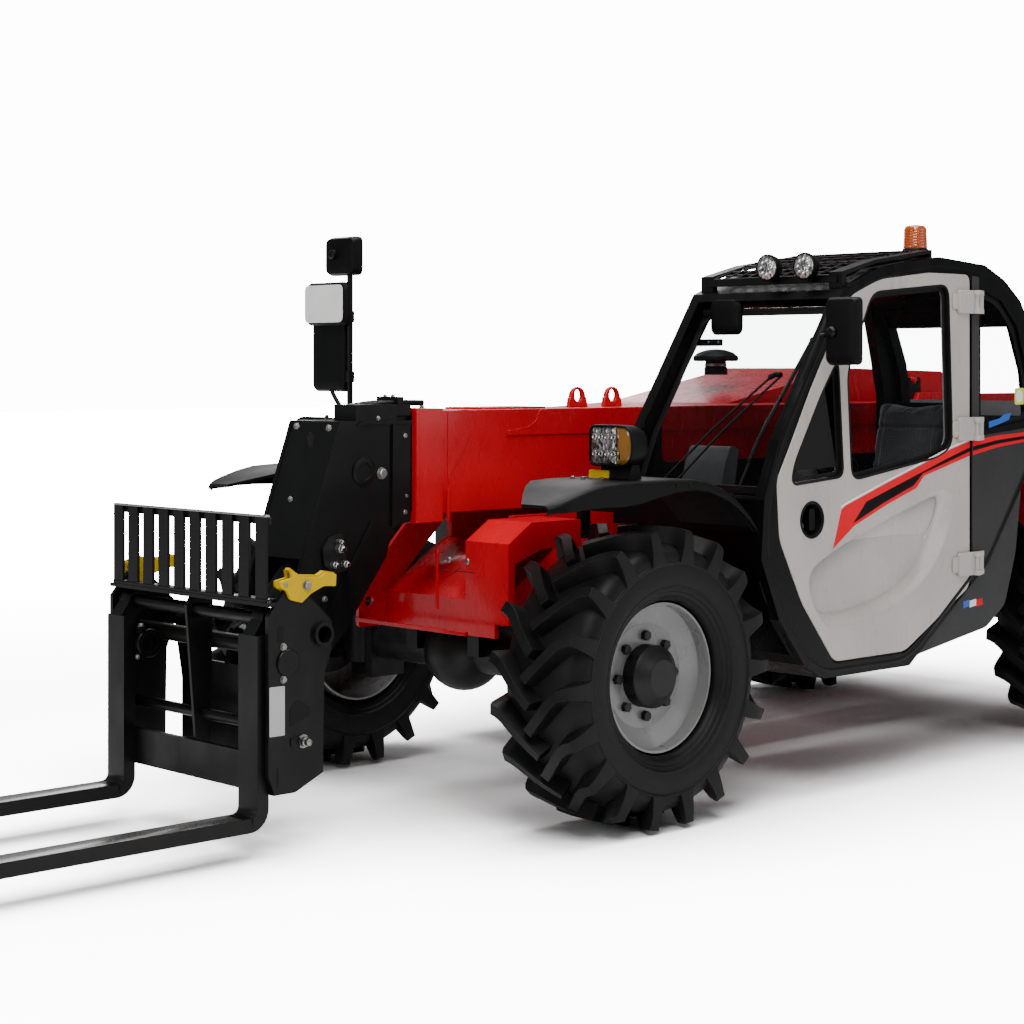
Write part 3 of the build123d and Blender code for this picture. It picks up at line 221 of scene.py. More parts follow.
def paint(name, color, rough=0.3, coat=0.5, wear=0.0, dust=ENAMEL_DUST, gloss=0.5, painted_shade_reach=0.0):
    """Sprayed enamel: orange peel, slight tone drift, a trace of dust and scuffs, and optional painted shade
    that darkens hollows.
    """
    f = Finish(name)
    tone = f.mix(f.ramp(f.noise(2.3, 5), 0.35, 0.65), shade(color, 0.82), color)
    tone = f.mix(f.ramp(f.noise(9, 6, 0.65), 0.52, 0.80, 0, 0.16), tone, dust)
    if wear:
        scuff = f.noise(55, 8, 0.7, f.coordinates((1, 1, 3)))
        tone = f.mix(f.ramp(scuff, 0.68, 0.74, 0, wear), tone, SCUFF)
    # Painted shade: ambient occlusion darkens the colour in hollows.
    if painted_shade_reach:
        painted_shade_mask = f.node("AmbientOcclusion", {"Distance": painted_shade_reach}).outputs["AO"]
        tone = f.mix(f.ramp(painted_shade_mask, 0.45, 0.95), shade(color, 0.30), tone)
    smear = f.noise(14, 6, vector=f.coordinates((1, 1, 0.4)))
    fine = f.bump(f.noise(420, 2), ORANGE_PEEL, 0.5)
    return f.look(
        color=tone, gloss=gloss, rough=f.ramp(smear, 0.3, 0.7, rough * 0.8, rough * 1.3), coat=coat,
        coat_rough=0.08, normal=f.bump(f.noise(38, 2), ORANGE_PEEL * 4, 0.25, fine),
    )


def moulded(name, color, rough=0.55, dust=0.25, gloss=0.3):
    """Moulded plastic with a fine leather-like grain and settled dust."""
    f = Finish(name)
    drift = f.noise(3.5, 5)
    lighter = tuple(min(1, c * 1.35 + 0.0008) for c in color)
    dusty = tuple(c * 2 + 0.006 for c in color)
    tone = f.mix(f.ramp(drift, 0.35, 0.7), color, lighter)
    tone = f.mix(f.ramp(f.noise(12, 6, 0.65), 0.5, 0.8, 0, dust), tone, dusty)
    grain = f.node("TexVoronoi", {"Vector": f.even, "Scale": 900}).outputs["Distance"]
    return f.look(
        color=tone, rough=f.ramp(drift, 0.3, 0.7, rough * 0.85, rough * 1.2), gloss=gloss,
        normal=f.bump(grain, 0.0002, 0.4),
    )


def rubber(name, color, rough):
    """Rubber: fine pitting, a coarse lumpy bump and dry dust in random specks."""
    f = Finish(name)
    coarse = f.noise(7, 6, 0.6)
    tone = f.mix(f.ramp(coarse, 0.35, 0.75), color, shade(color, 1.9))
    tone = f.mix(f.ramp(f.noise(160, 5, 0.6), 0.56, 0.8, 0, 0.25), tone, TYRE_DUST)
    pits = f.bump(f.noise(620, 4), 0.0003, 0.35)
    return f.look(
        color=tone, rough=f.ramp(coarse, 0.3, 0.7, rough * 0.8, rough * 1.15), gloss=0.17,
        normal=f.bump(coarse, 0.002, 0.2, pits),
    )


def metal(name, color, rough=0.25, scratch=0.3, direction=(1, 1, 25)):
    """Bare steel or chrome with drawn scratches."""
    f = Finish(name)
    lines = f.noise(60, 6, 0.6, f.coordinates(direction))
    return f.look(
        color=f.mix(f.ramp(lines, 0.35, 0.75), color, shade(color, 0.72)), metallic=1,
        rough=f.ramp(lines, 0.3, 0.7, rough * 0.7, rough * 1.4), normal=f.bump(lines, 0.0001, scratch),
    )


def casting(name, rough=0.42):
    """Painted casting: lumpy sand texture under satin paint."""
    f = Finish(name)
    grime = f.noise(11, 6, 0.6)
    return f.look(
        color=f.mix(f.ramp(grime, 0.4, 0.75), SOOT, GRIME), gloss=0.3,
        rough=f.ramp(grime, 0.3, 0.7, rough * 0.8, rough * 1.25),
        normal=f.bump(f.noise(120, 6, 0.6), 0.0009, 0.35),
    )


def glass(name, color=(0.88, 0.89, 0.895), rough=0.02):
    """Tinted safety glass: thin, with faint wiped smears and a reflection that grows towards its edge."""
    f = Finish(name)
    smear = f.noise(6, 6, 0.6, f.coordinates((1, 1, 0.3)))
    f.look(
        color=(0.02, 0.022, 0.024), rough=f.ramp(smear, 0.4, 0.8, rough, rough + 0.08),
        normal=f.bump(f.noise(3, 2), 0.002, 0.05),
    )
    clear = f.node("BsdfTransparent", {"Color": color}).outputs["BSDF"]
    facing = f.node("LayerWeight", {}).outputs["Facing"]
    steep = f.node("Math", {0: facing, 1: 4}, operation="POWER").outputs["Value"]
    blend = f.blend(f.ramp(steep, 0, 1, 0.025, 0.6), clear, f.shader.outputs["BSDF"])
    f.put(f.tree.nodes["Material Output"], {"Surface": blend})
    return f.material


def lens(name, color, rough=0.08, scale=260, glow=0.0):
    """Ribbed lamp lens."""
    f = Finish(name)
    ribs = f.node("TexWave", {"Vector": f.even, "Scale": scale / 6.28, "Distortion": 0.3}).outputs["Fac"]
    f.look(
        color=f.mix(ribs, shade(color, 0.75), color), clear=0.35, coat=0.8,
        rough=f.ramp(f.noise(30, 3), 0.3, 0.7, rough, rough * 2), normal=f.bump(ribs, 0.0008, 0.5),
    )
    if glow:
        f.look(glow=glow, glow_color=color)
    return f.material


def faceted(name, color):
    """Reflector behind clear glass: bumped facets whose colour is painted bright and dark, a painted
    reflection.
    """
    f = Finish(name)
    cells = f.node("TexVoronoi", {"Vector": f.coordinates((1, 1.6, 1)), "Scale": 85}, feature="F1")
    split = f.node("SeparateColor", {"Color": cells.outputs["Color"]}).outputs
    return f.look(
        color=f.mix(f.ramp(split["Red"], 0.15, 0.9), shade(color, 0.12), color), metallic=0.8,
        rough=f.ramp(split["Green"], 0, 1, 0.06, 0.30), coat=1, coat_rough=0.03,
        normal=f.bump(cells.outputs["Distance"], 0.002, 0.8),
    )


def woven(name):
    """Seat cover: fine twill with worn lighter patches."""
    f = Finish(name)
    twill = {"wave_type": "BANDS", "bands_direction": "DIAGONAL"}
    weave = f.node("TexWave", {"Vector": f.even, "Scale": 120}, **twill).outputs["Fac"]
    worn = f.noise(9, 5)
    return f.look(
        color=f.mix(f.ramp(worn, 0.4, 0.75), CLOTH_GREY, shade(CLOTH_GREY, 2)),
        rough=f.ramp(worn, 0.3, 0.7, 0.6, 0.8), sheen=0.3, normal=f.bump(weave, 0.0006, 0.5),
    )


# ---- The finishes ----
PALE_GREY = (0.46, 0.425, 0.405)
PALE_DUST = (0.42, 0.385, 0.365)
BLACK_DUST = (0.009, 0.009, 0.009)
RED = paint("machine_red", (0.50, 0.0, 0.008), rough=0.26, coat=0.25, dust=(0.36, 0.002, 0.012), gloss=0.25)
BLACK = paint(
    "satin_black", (0.0026, 0.0026, 0.0028), rough=0.36, coat=0, wear=0.03, dust=BLACK_DUST, gloss=0.22
)
GLOSS_BLACK = paint(
    "gloss_black", (0.0020, 0.0020, 0.0022), rough=0.30, coat=0, dust=(0.005, 0.005, 0.005), gloss=0.14
)
DARK_GREY = paint(
    "dark_grey", (0.026, 0.026, 0.027), rough=0.42, coat=0, wear=0.05, dust=(0.040, 0.039, 0.038), gloss=0.25
)
DOOR_GREY = paint("door_grey", PALE_GREY, coat=0.3, dust=PALE_DUST, gloss=0.4)
# The door recess's paint, with painted shade that darkens its hollows.
RECESS_GREY = paint("recess_grey", PALE_GREY, rough=0.28, coat=0.4, dust=PALE_DUST, painted_shade_reach=0.16)
RIM_GREY = paint("rim_grey", (0.19, 0.19, 0.19), rough=0.28, coat=0.3, wear=0.08, dust=SCUFF)
YELLOW = paint("latch_yellow", (0.62, 0.40, 0.0), rough=0.45, coat=0, dust=(0.52, 0.33, 0.0), gloss=0.12)
STRIPE_RED = paint("stripe_red", (0.72, 0.0, 0.012), rough=0.40, coat=0, dust=(0.62, 0.0, 0.012), gloss=0.15)
BLUE = paint("decal_blue", (0.004, 0.10, 0.50), rough=0.35, coat=0.2)
WHITE = paint("decal_white", (0.92, 0.92, 0.91), rough=0.35, coat=0.2)
GREEN_YELLOW = paint("decal_green", (0.62, 0.80, 0.05), rough=0.35, coat=0.2)
PLATE = paint("bare_plate", (0.45, 0.45, 0.45), rough=0.4, coat=0.1, wear=0.1)
CASTING = casting("black_casting")
CHROME = metal("chrome_rod", (0.78, 0.78, 0.79), rough=0.10, scratch=0.1)
STEEL = metal("worn_steel", (0.52, 0.51, 0.50), rough=0.28, scratch=0.5, direction=(25, 1, 1))
ZINC = metal("zinc_bolt", (0.30, 0.295, 0.28), rough=0.34)
MIRROR = metal("mirror_face", (0.95, 0.95, 0.95), rough=0.03, scratch=0.01)
BLACK_PLASTIC = moulded("black_plastic", (0.0018, 0.0018, 0.0020), rough=0.48, dust=0.03, gloss=0.12)
GREY_PLASTIC = moulded("grey_plastic", (0.022, 0.022, 0.023), rough=0.5)
LINER = moulded("cab_liner", (0.04, 0.04, 0.042), rough=0.65)
RUBBER = rubber("tyre_rubber", (0.0036, 0.0036, 0.0038), 0.50)
SEAL = rubber("rubber_seal", (0.0035, 0.0035, 0.0035), 0.55)
GLASS = glass("tinted_glass")
LAMP = faceted("lamp_lens", (0.62, 0.62, 0.60))
AMBER = lens("amber_lens", (0.36, 0.15, 0.008))
BEACON = lens("beacon_lens", (0.60, 0.085, 0.0), scale=400, glow=0.12)
RED_LENS = lens("red_lens", (0.35, 0.004, 0.004))
SEAT = woven("seat_cover")


# ---- Outlines ----
def rounded(points, radius, steps=6):
    """Closed outline with each corner turned into an arc, by blending between its two tangent points."""
    count = len(points)
    out = []
    for i, corner in enumerate(points):
        here, before, after = Vector(corner), Vector(points[i - 1]), Vector(points[(i + 1) % count])
        r = radius[i] if isinstance(radius, (list, tuple)) else radius
        reach = min(r, (before - here).length * 0.48, (after - here).length * 0.48)
        start = here + (before - here).normalized() * reach
        end = here + (after - here).normalized() * reach
        for k in range(steps + 1):
            t = k / steps
            out.append(tuple(start * (1 - t) ** 2 + here * 2 * t * (1 - t) + end * t**2))
    return out


def box_outline(u_low, u_high, v_low, v_high, radius, steps=6):
    return rounded([(u_low, v_low), (u_high, v_low), (u_high, v_high), (u_low, v_high)], radius, steps)


def inset(outline, amount):
    """Outline moved inward; a negative amount moves it outward."""
    following = [*outline[1:], outline[0]]
    area = sum(a[0] * b[1] - b[0] * a[1] for a, b in zip(outline, following))
    shift = amount if area > 0 else -amount
    out = []
    for i, point in enumerate(outline):
        run = (Vector(following[i]) - Vector(outline[i - 1])).normalized()
        out.append((point[0] - run.y * shift, point[1] + run.x * shift))
    return out


def turns(count):
    """Angles of evenly spaced steps round a circle."""
    return [math.tau * i / count for i in range(count)]


def circle(centre, radius, count=40):
    return [(centre[0] + radius * math.cos(t), centre[1] + radius * math.sin(t)) for t in turns(count)]


def spline_points(points, steps=10):
    """Smooth line through points."""
    points = [Vector(p) for p in points]
    ends = [points[0] * 2 - points[1], *points, points[-1] * 2 - points[-2]]
    out = []
    for i in range(1, len(ends) - 2):
        a, b, c, d = ends[i - 1 : i + 3]
        for k in range(steps):
            t = k / steps
            bend = (2 * a - 5 * b + 4 * c - d) * t**2 + (3 * b - a - 3 * c + d) * t**3
            out.append(0.5 * (2 * b + (c - a) * t + bend))
    return [*out, points[-1]]


def smooth_step(t):
    return t * t * (3 - 2 * t)


def frame_for(axis):
    """Two directions square to an axis."""
    axis = Vector(axis).normalized()
    side = axis.cross(Z if abs(axis.z) < 0.9 else X).normalized()
    return side, axis.cross(side).normalized()


# ---- Pieces ----
def round_edges(piece, width, angle=32, segments=2):
    modifier = piece.modifiers.new("rounded", "BEVEL")
    modifier.width = width / METRE
    modifier.segments = segments
    modifier.limit_method = "ANGLE"
    modifier.angle_limit = math.radians(angle)
    modifier.harden_normals = True
    modifier.use_clamp_overlap = True


def settle(name, mesh, body, finishes, bevel=0, angle=32, replaces=(), segments=2):
    """A mesh becomes a piece: finishes, shading, rounded edges, the body that it rides on."""
    for finish in finishes:
        mesh.materials.append(finish)
    piece = add(name, mesh)
    mesh.polygons.foreach_set("use_smooth", [True] * len(mesh.polygons))
    mesh.set_sharp_from_angle(angle=math.radians(angle))
    if bevel:
        round_edges(piece, bevel, angle, segments)
    if replaces:
        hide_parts(*replaces)
    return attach(piece, body)


class Form:
    """A piece being built: one mesh with its finishes."""

    def __init__(self, *finishes):
        self.bm = bmesh.new()
        self.finishes = finishes

    def rings(self, rows, finish=0, closed=False):
        """Skin over rows of points, each row a closed ring."""
        made = [[self.bm.verts.new(place(*p)) for p in row] for row in rows]
        count = len(rows[0])
        faces = []
        for first, second in zip(made, made[1:] + made[:1] if closed else made[1:]):
            for i in range(count):
                j = (i + 1) % count
                faces.append((first[i], first[j], second[j], second[i]))
        if not closed:
            faces += [list(reversed(made[0])), made[-1]]
        for corners in faces:
            self.bm.faces.new(corners).material_index = finish

    def block(self, low, high, finish=0):
        (a, b, c), (d, e, f) = low, high
        lower = [(a, b, c), (d, b, c), (d, e, c), (a, e, c)]
        self.rings([lower, [(x, y, f) for x, y, _ in lower]], finish)

    def prism(self, outline, low, high, finish=0, axis="y"):
        """Outline in side view (x, z), or in plan (x, y) or front view (y, z), pulled between two levels."""
        put = {
            "x": lambda p, level: (level, p[0], p[1]),
            "y": lambda p, level: (p[0], level, p[1]),
            "z": lambda p, level: (p[0], p[1], level),
        }[axis]
        self.rings([[put(p, low) for p in outline], [put(p, high) for p in outline]], finish)

    def turned(self, profile, centre, axis, finish=0, count=32, closed=False):
        """Profile of (distance along the axis, radius) turned about the axis."""
        centre, axis = Vector(centre), Vector(axis).normalized()
        side, up = frame_for(axis)
        rows = []
        for along, radius in profile:
            middle = centre + axis * along
            rows.append([middle + (side * math.cos(t) + up * math.sin(t)) * radius for t in turns(count)])
        self.rings(rows, finish, closed)

    def tube(self, path, radius, finish=0, count=12):
        """Round bar along points."""
        path = [Vector(p) for p in path]
        side = None
        rows = []
        for i, point in enumerate(path):
            ahead = (path[min(i + 1, len(path) - 1)] - path[max(i - 1, 0)]).normalized()
            side = side or frame_for(ahead)[0]
            side = (side - ahead * side.dot(ahead)).normalized()
            up = ahead.cross(side)
            rows.append([point + (side * math.cos(t) + up * math.sin(t)) * radius for t in turns(count)])
        self.rings(rows, finish)

    def bolt(self, at, axis, size=12, finish=0):
        """Hexagon head on a washer: size is the distance across the head's corners."""
        self.turned([(0, size * 0.62), (size * 0.12, size * 0.62)], at, axis, finish, 20)
        head = [(size * 0.12, size * 0.5), (size * 0.42, size * 0.5), (size * 0.5, size * 0.42)]
        self.turned(head, at, axis, finish, 6)

    def done(self, name, body, bevel=0, angle=32, replaces=(), segments=2):
        bmesh.ops.recalc_face_normals(self.bm, faces=self.bm.faces)
        mesh = bpy.data.meshes.new(name)
        self.bm.to_mesh(mesh)
        self.bm.free()
        return settle(name, mesh, body, self.finishes, bevel, angle, replaces, segments)


def plate(name, outlines, y, thickness, body, finish, edge=2, replaces=()):
    """Side-view sheet with holes and rounded edges: y is its outer face on the left."""
    data = bpy.data.curves.new(name, "CURVE")
    data.dimensions = "2D"
    data.fill_mode = "BOTH"
    data.extrude = (thickness / 2 - edge) / METRE
    data.bevel_depth = edge / METRE
    data.bevel_resolution = 2
    data.offset = -edge / METRE
    for outline in outlines:
        spline = data.splines.new("POLY")
        spline.points.add(len(outline) - 1)
        for point, (x, z) in zip(spline.points, outline):
            point.co = (x / METRE, z / METRE, 0, 1)
        spline.use_cyclic_u = True
    holder = add(name + "_curve", data)
    bpy.context.view_layer.update()
    mesh = evaluated_mesh(holder)
    upright = Matrix.Rotation(math.radians(90), 4, "X")
    mesh.transform(Matrix.Translation(place(0, y - thickness / 2, 0)) @ upright)
    mesh.name = name
    mesh.materials.clear()
    return settle(name, mesh, body, (finish,), 0, 40, replaces)


# ---- CAD nodes: finish and rounded edges ----
SAME_POINT = 0.00002
BOOM_Y = -40
TOOL_X = extent("fork_frame")[1].x + 25  # front face of the fork shanks
FINISHES = {
    "outer_boom": (RED, 4),
    "lifting_eyes": (RED, 2),
    "front_nose": (RED, 4),
    "hood": (RED, 18),
    "rear_cowl": (DARK_GREY, 20),
    "chassis_frame": (RED, 2),
    "frame_members": (RED, 2),
    "outriggers": (BLACK, 2),
    "hood_hinge_posts": (BLACK, 2),
    "counterweights": (BLACK, 12),
    "tow_hitch": (BLACK, 1),
    "axle_beams": (CASTING, 0),
    "engine_bay": (DARK_GREY, 4),
    "engine_block": (CASTING, 4),
    "inner_boom": (BLACK, 3),
    "boom_head": (BLACK, 3),
    "tool_carrier": (BLACK, 3),
    "fork_frame": (BLACK, 3),
    "load_guard": (BLACK, 2),
    "forks": (BLACK, 4),
    "lift_barrel": (BLACK, 1),
    "tilt_barrel": (BLACK, 1),
    "lift_rod": (CHROME, 0),
    "tilt_rod": (CHROME, 0),
    "cab_frame": (GLOSS_BLACK, 6),
    "cab_windows": (GLASS, 0),
    "door_glass": (GLASS, 0),
    "door_hinges": (DOOR_GREY, 2),
    "roof_guard": (BLACK, 1),
    "fenders": (BLACK_PLASTIC, 6),
    "controls": (BLACK_PLASTIC, 2),
}
for corner in CORNERS:
    FINISHES[f"{corner}_rim"] = (RIM_GREY, 0)
    FINISHES[f"{corner}_hub"] = (CASTING, 1.5)
    FINISHES[f"{corner}_knuckle"] = (CASTING, 0)
for name, (finish, edge) in FINISHES.items():
    node = nodes[name]
    node.data.materials.clear()
    node.data.materials.append(finish)
    if edge:
        weld = node.modifiers.new("joined", "WELD")
        weld.merge_threshold = SAME_POINT
        round_edges(node, edge, 30, 2)


# ---- Tyres: carcass with bead, ring lines and interleaved chevron lugs ----
HALF_WIDTH = (tyre_high.y - tyre_low.y) / 2
MID_Y = (tyre_high.y + tyre_low.y) / 2
LUGS = 18
ROUND_STEPS = 108
# The section is drawn for a tyre 380 wide and 1,010 high, and stretched to the one in the frame
ACROSS = HALF_WIDTH / 190
OUTWARD = (tyre_high.z - tyre_low.z) / 2 / 505
SECTION = [
    (0, 455), (60, 453.5), (105, 449), (140, 441), (162, 428), (176, 410), (181.5, 396), (182.5, 390),
    (186.8, 387.8), (188, 384), (186.8, 380.2), (182.8, 378), (183.5, 370), (185, 345), (184, 325),
    (181.2, 310), (182.2, 308), (182.2, 305.5), (179, 303.5), (173, 295), (172.2, 290.5), (167.5, 288),
    (164, 280), (163, 276), (158.5, 273.5), (155.5, 270), (150, 264), (143, 259.5), (135, 257),
]
LINING = [(115, 262), (140, 300), (148, 350), (130, 400), (0, 425)]
# Along a lug: top point (across, radius), foot point, advance round the wheel, half widths at top and foot
LUG_STATIONS = [
    ((188.5, 384), (186, 382), 0.000, 33, 34.5),
    ((189.5, 400), (180, 392), 0.000, 29, 32.5),
    ((189, 440), (170, 410), 0.000, 23.5, 30),
    ((185, 478), (160, 425), 0.000, 20, 28.5),
    ((179, 495.5), (150, 434), 0.002, 19, 28),
    ((160, 499), (140, 438), 0.010, 18, 27),
    ((135, 501), (125, 441), 0.030, 17.5, 26.5),
    ((115, 502), (110, 444), 0.058, 17.2, 26.2),
    ((95, 503), (93, 446), 0.096, 17, 26),
    ((70, 503.8), (69, 449), 0.146, 16.8, 25.8),
    ((42, 504.4), (42, 450), 0.200, 16.6, 25.6),
    ((15, 504.8), (15, 451), 0.250, 16.6, 25.6),
    ((-10, 504.8), (-18, 451), 0.296, 17.2, 26.2),
]
SHOULDER = 3  # the last station of a lug that runs straight down the side wall


def carcass(bm):
    """Skin of the tyre's section, outside and lining, turned round the axle."""
    right = [(a * ACROSS, r * OUTWARD) for a, r in SECTION + LINING]
    profile = right + [(-a, r) for a, r in reversed(right[1:-1])]
    rows = [
        [bm.verts.new((r * math.cos(turn), across, -r * math.sin(turn))) for across, r in profile]
        for turn in turns(ROUND_STEPS)
    ]
    for first, second in zip(rows, rows[1:] + rows[:1]):
        for k in range(len(profile)):
            m = (k + 1) % len(profile)
            bm.faces.new((first[k], first[m], second[m], second[k]))


def lug_sections(side, start):
    """Four corners at each station of a lug, square to the way that the lug runs."""
    last = len(LUG_STATIONS) - 1
    for index, (top, foot, turn, half_top, half_foot) in enumerate(LUG_STATIONS):
        ahead, behind = LUG_STATIONS[min(index + 1, last)], LUG_STATIONS[max(index - 1, 0)]
        run = abs(ahead[0][0] - behind[0][0]) + 0.001
        lean = math.atan2((ahead[2] - behind[2]) * 500, run) if index > SHOULDER else 0
        section = []
        corners = ((foot, -half_foot), (top, -half_top), (top, half_top), (foot, half_foot))
        for (across, radius), half in corners:
            angle = start + turn + math.cos(lean) * half / radius
            y = side * (across + math.sin(lean) * half) * ACROSS
            y = max(-HALF_WIDTH, min(HALF_WIDTH, y))
            section.append((radius * OUTWARD * math.cos(angle), y, -radius * OUTWARD * math.sin(angle)))
        yield section


def make_tyres():
    bm = bmesh.new()
    carcass(bm)
    for side, stagger in ((1, 0), (-1, 0.5)):
        for lug in range(LUGS):
            start = math.tau * (lug + stagger) / LUGS
            sections = [[bm.verts.new(p) for p in section] for section in lug_sections(side, start)]
            for first, second in zip(sections, sections[1:]):
                for k in range(4):
                    bm.faces.new((first[k], first[(k + 1) % 4], second[(k + 1) % 4], second[k]))
            bm.faces.new(sections[0])
            bm.faces.new(sections[-1])
    bmesh.ops.recalc_face_normals(bm, faces=bm.faces)
    for name, (x, side) in CORNERS.items():
        mesh = bpy.data.meshes.new(f"{name}_lugged_tyre")
        bm.to_mesh(mesh)
        mesh.transform(Matrix.Translation((x, side * MID_Y, AXLE_Z)))
        settle(mesh.name, mesh, f"{name}_wheel", (RUBBER,), 2.8, replaces=(f"{name}_tyre",))
    bm.free()


make_tyres()


# ---- Outlines of the cab in side view, from the front axle ----
CAB_OUT = 970  # the door's outer face
PANEL_OUT = 972.5
SKIRT_OUT = 952
SQUARISH = 0.75
CAB_OUTLINE = [
    (-475, 868), (-491, 1076), (-572, 1283), (-710, 1492), (-926, 1817), (-1149, 1903),
    (-1523, 1957), (-1820, 1936), (-1952, 1882), (-2061, 1805), (-2120, 1727), (-2200, 1550),
    (-2230, 1350), (-2200, 1220), (-2120, 1127), (-1849, 784), (-1329, 422), (-823, 424),
    (-710, 481), (-572, 652),
]
DOOR_OUTLINE = [
    (-971, 1799), (-1149, 1862), (-1459, 1896), (-1719, 1896), (-1719, 690), (-1302, 478),
    (-880, 478), (-700, 700), (-575, 933), (-560, 1144), (-620, 1240), (-753, 1470),
]
MAIN_WINDOW = [(-985, 1130), (-959, 1520), (-1107, 1810), (-1575, 1850), (-1601, 1240), (-1510, 1200)]
SMALL_WINDOW = [(-640, 1125), (-660, 1200), (-809, 1440), (-900, 1560), (-930, 1145)]
QUARTER_GLASS = [(-1790, 1290), (-1790, 1840), (-1930, 1800), (-2040, 1700), (-2120, 1500), (-2140, 1330)]
RECESS_RIM = [
    (-733, 767), (-746, 818), (-820, 856), (-924, 897), (-1060, 943), (-1202, 987), (-1350, 1030),
    (-1503, 1068), (-1569, 1073), (-1612, 1039), (-1609, 986), (-1574, 898), (-1493, 785), (-1375, 699),
    (-1202, 642), (-1015, 606), (-835, 602), (-762, 676),
]
RECESS_FLOOR = [
    (-777, 786), (-790, 814), (-850, 846), (-930, 879), (-1062, 922), (-1202, 964), (-1348, 1006),
    (-1485, 1042), (-1522, 1042), (-1528, 1025), (-1503, 949), (-1424, 824), (-1326, 749), (-1202, 705),
    (-1060, 680), (-924, 666), (-826, 677), (-782, 719),
]
HANDLE = (-753, 995)


# ---- Cab: rounded frame ring, dark side panels, glass borders ----
def make_cab_ring():
    """Thick rounded bar along the outline of the cab's left side."""
    ring = Form(GLOSS_BLACK)
    path = rounded(CAB_OUTLINE, 100, 5)
    rows = []
    for outer, inner in zip(path, inset(path, 24)):
        out = (Vector(outer) - Vector(inner)).normalized()
        row = []
        for t in turns(16):
            bulge_out, bulge_left = (math.copysign(abs(c) ** SQUARISH, c) for c in (math.cos(t), math.sin(t)))
            shift = out * 26 * bulge_out
            row.append((inner[0] + shift.x, 944 + 27 * bulge_left, inner[1] + shift.y))
        rows.append(row)
    ring.rings(rows, closed=True)
    ring.done("cab_ring", "chassis", angle=50)


def make_side_panels():
    panel = [
        (-1733, 742), (-1733, 1272), (-1795, 1272), (-2150, 1300), (-2172, 1235), (-2090, 1130),
        (-1838, 808),
    ]
    panel = rounded(panel, [12, 4, 10, 50, 50, 30, 20], 4)
    plate("rear_side_panel", [panel], PANEL_OUT, 10, "chassis", DARK_GREY, 2.5)
    pillar = rounded([(-1733, 1282), (-1733, 1892), (-1778, 1888), (-1778, 1284)], 10, 3)
    plate("rear_pillar_trim", [pillar], PANEL_OUT, 10, "chassis", GREY_PLASTIC, 2.5)
    skirt = [(-1395, 452), (-1860, 520), (-1985, 600), (-2060, 800), (-2100, 1060), (-1865, 770)]
    plate("rear_skirt", [rounded(skirt, 25, 4)], SKIRT_OUT, 22, "chassis", GREY_PLASTIC, 4)
    backing = [(-1330, 470), (-1420, 440), (-1700, 540), (-1900, 760), (-1860, 830), (-1600, 640)]
    plate("sill_backing", [backing], 929, 8, "chassis", SEAL)


def make_stickers():
    badge = Form(BLUE, WHITE, STRIPE_RED)
    for finish, x in enumerate((-1700, -1743, -1786)):
        field = [(x, 606), (x, 632), (x - 42, 637), (x - 42, 611)]
        badge.prism(field, SKIRT_OUT, SKIRT_OUT + 1.2, finish)
    badge.done("tricolour_badge", "chassis")

    sticker = Form(BLUE, GREEN_YELLOW, WHITE)
    label = [
        (-1842, 1300), (-1842, 1326), (-1915, 1337), (-1945, 1352), (-1995, 1358), (-1980, 1330),
        (-1900, 1312),
    ]
    notice = rounded([(-2020, 1390), (-2020, 1456), (-2085, 1456), (-2085, 1390)], 10, 4)
    top = PANEL_OUT + 0.7
    sticker.prism(rounded(label, 5, 3), PANEL_OUT, top, 0)
    sticker.prism(notice, PANEL_OUT, top, 1)
    sticker.prism(circle((-2052, 1423), 24, 24), top, top + 0.4, 2)
    sticker.done("blank_stickers", "chassis")


def gasket(name, outline, outward, inward, y, thickness, body, edge=1):
    """Rubber band that follows an outline."""
    plate(name, [inset(outline, -outward), inset(outline, inward)], y, thickness, body, SEAL, edge)


def make_glass_borders():
    gasket("quarter_border", rounded(QUARTER_GLASS, 50), 6, 22, 956, 4, "chassis")
    screen = Form(SEAL)
    line = [(-561, 1087), (-650, 1288), (-775, 1478), (-950, 1752)]
    for low, high in ((296, 322), (898, 924)):
        screen.rings([
            [(x + 1, low, z), (x + 1, high, z), (x + 5, high, z + 2), (x + 5, low, z + 2)] for x, z in line
        ])
    for x, z in (line[0], (-935, 1729)):
        screen.block((x - 12, 300, z + 2), (x + 10, 920, z + 30))
    screen.done("windscreen_border", "chassis", 1)


make_cab_ring()
make_side_panels()
make_stickers()
make_glass_borders()


# ---- Door: sculpted shell, handle dish, borders and seal ----
DOOR_EDGE = rounded(DOOR_OUTLINE, 35)
MAIN_EDGE = rounded(MAIN_WINDOW, 50)
SMALL_EDGE = rounded(SMALL_WINDOW, 35)
RIM_EDGE = rounded(RECESS_RIM, 60, 3)
FLOOR_EDGE = rounded(RECESS_FLOOR, 60, 3)


def recess_depth(z):
    """The floor lies deeper towards the foot of the recess."""
    return 24 + 46 * smooth_step(min(1, max(0, (1000 - z) / 300)))


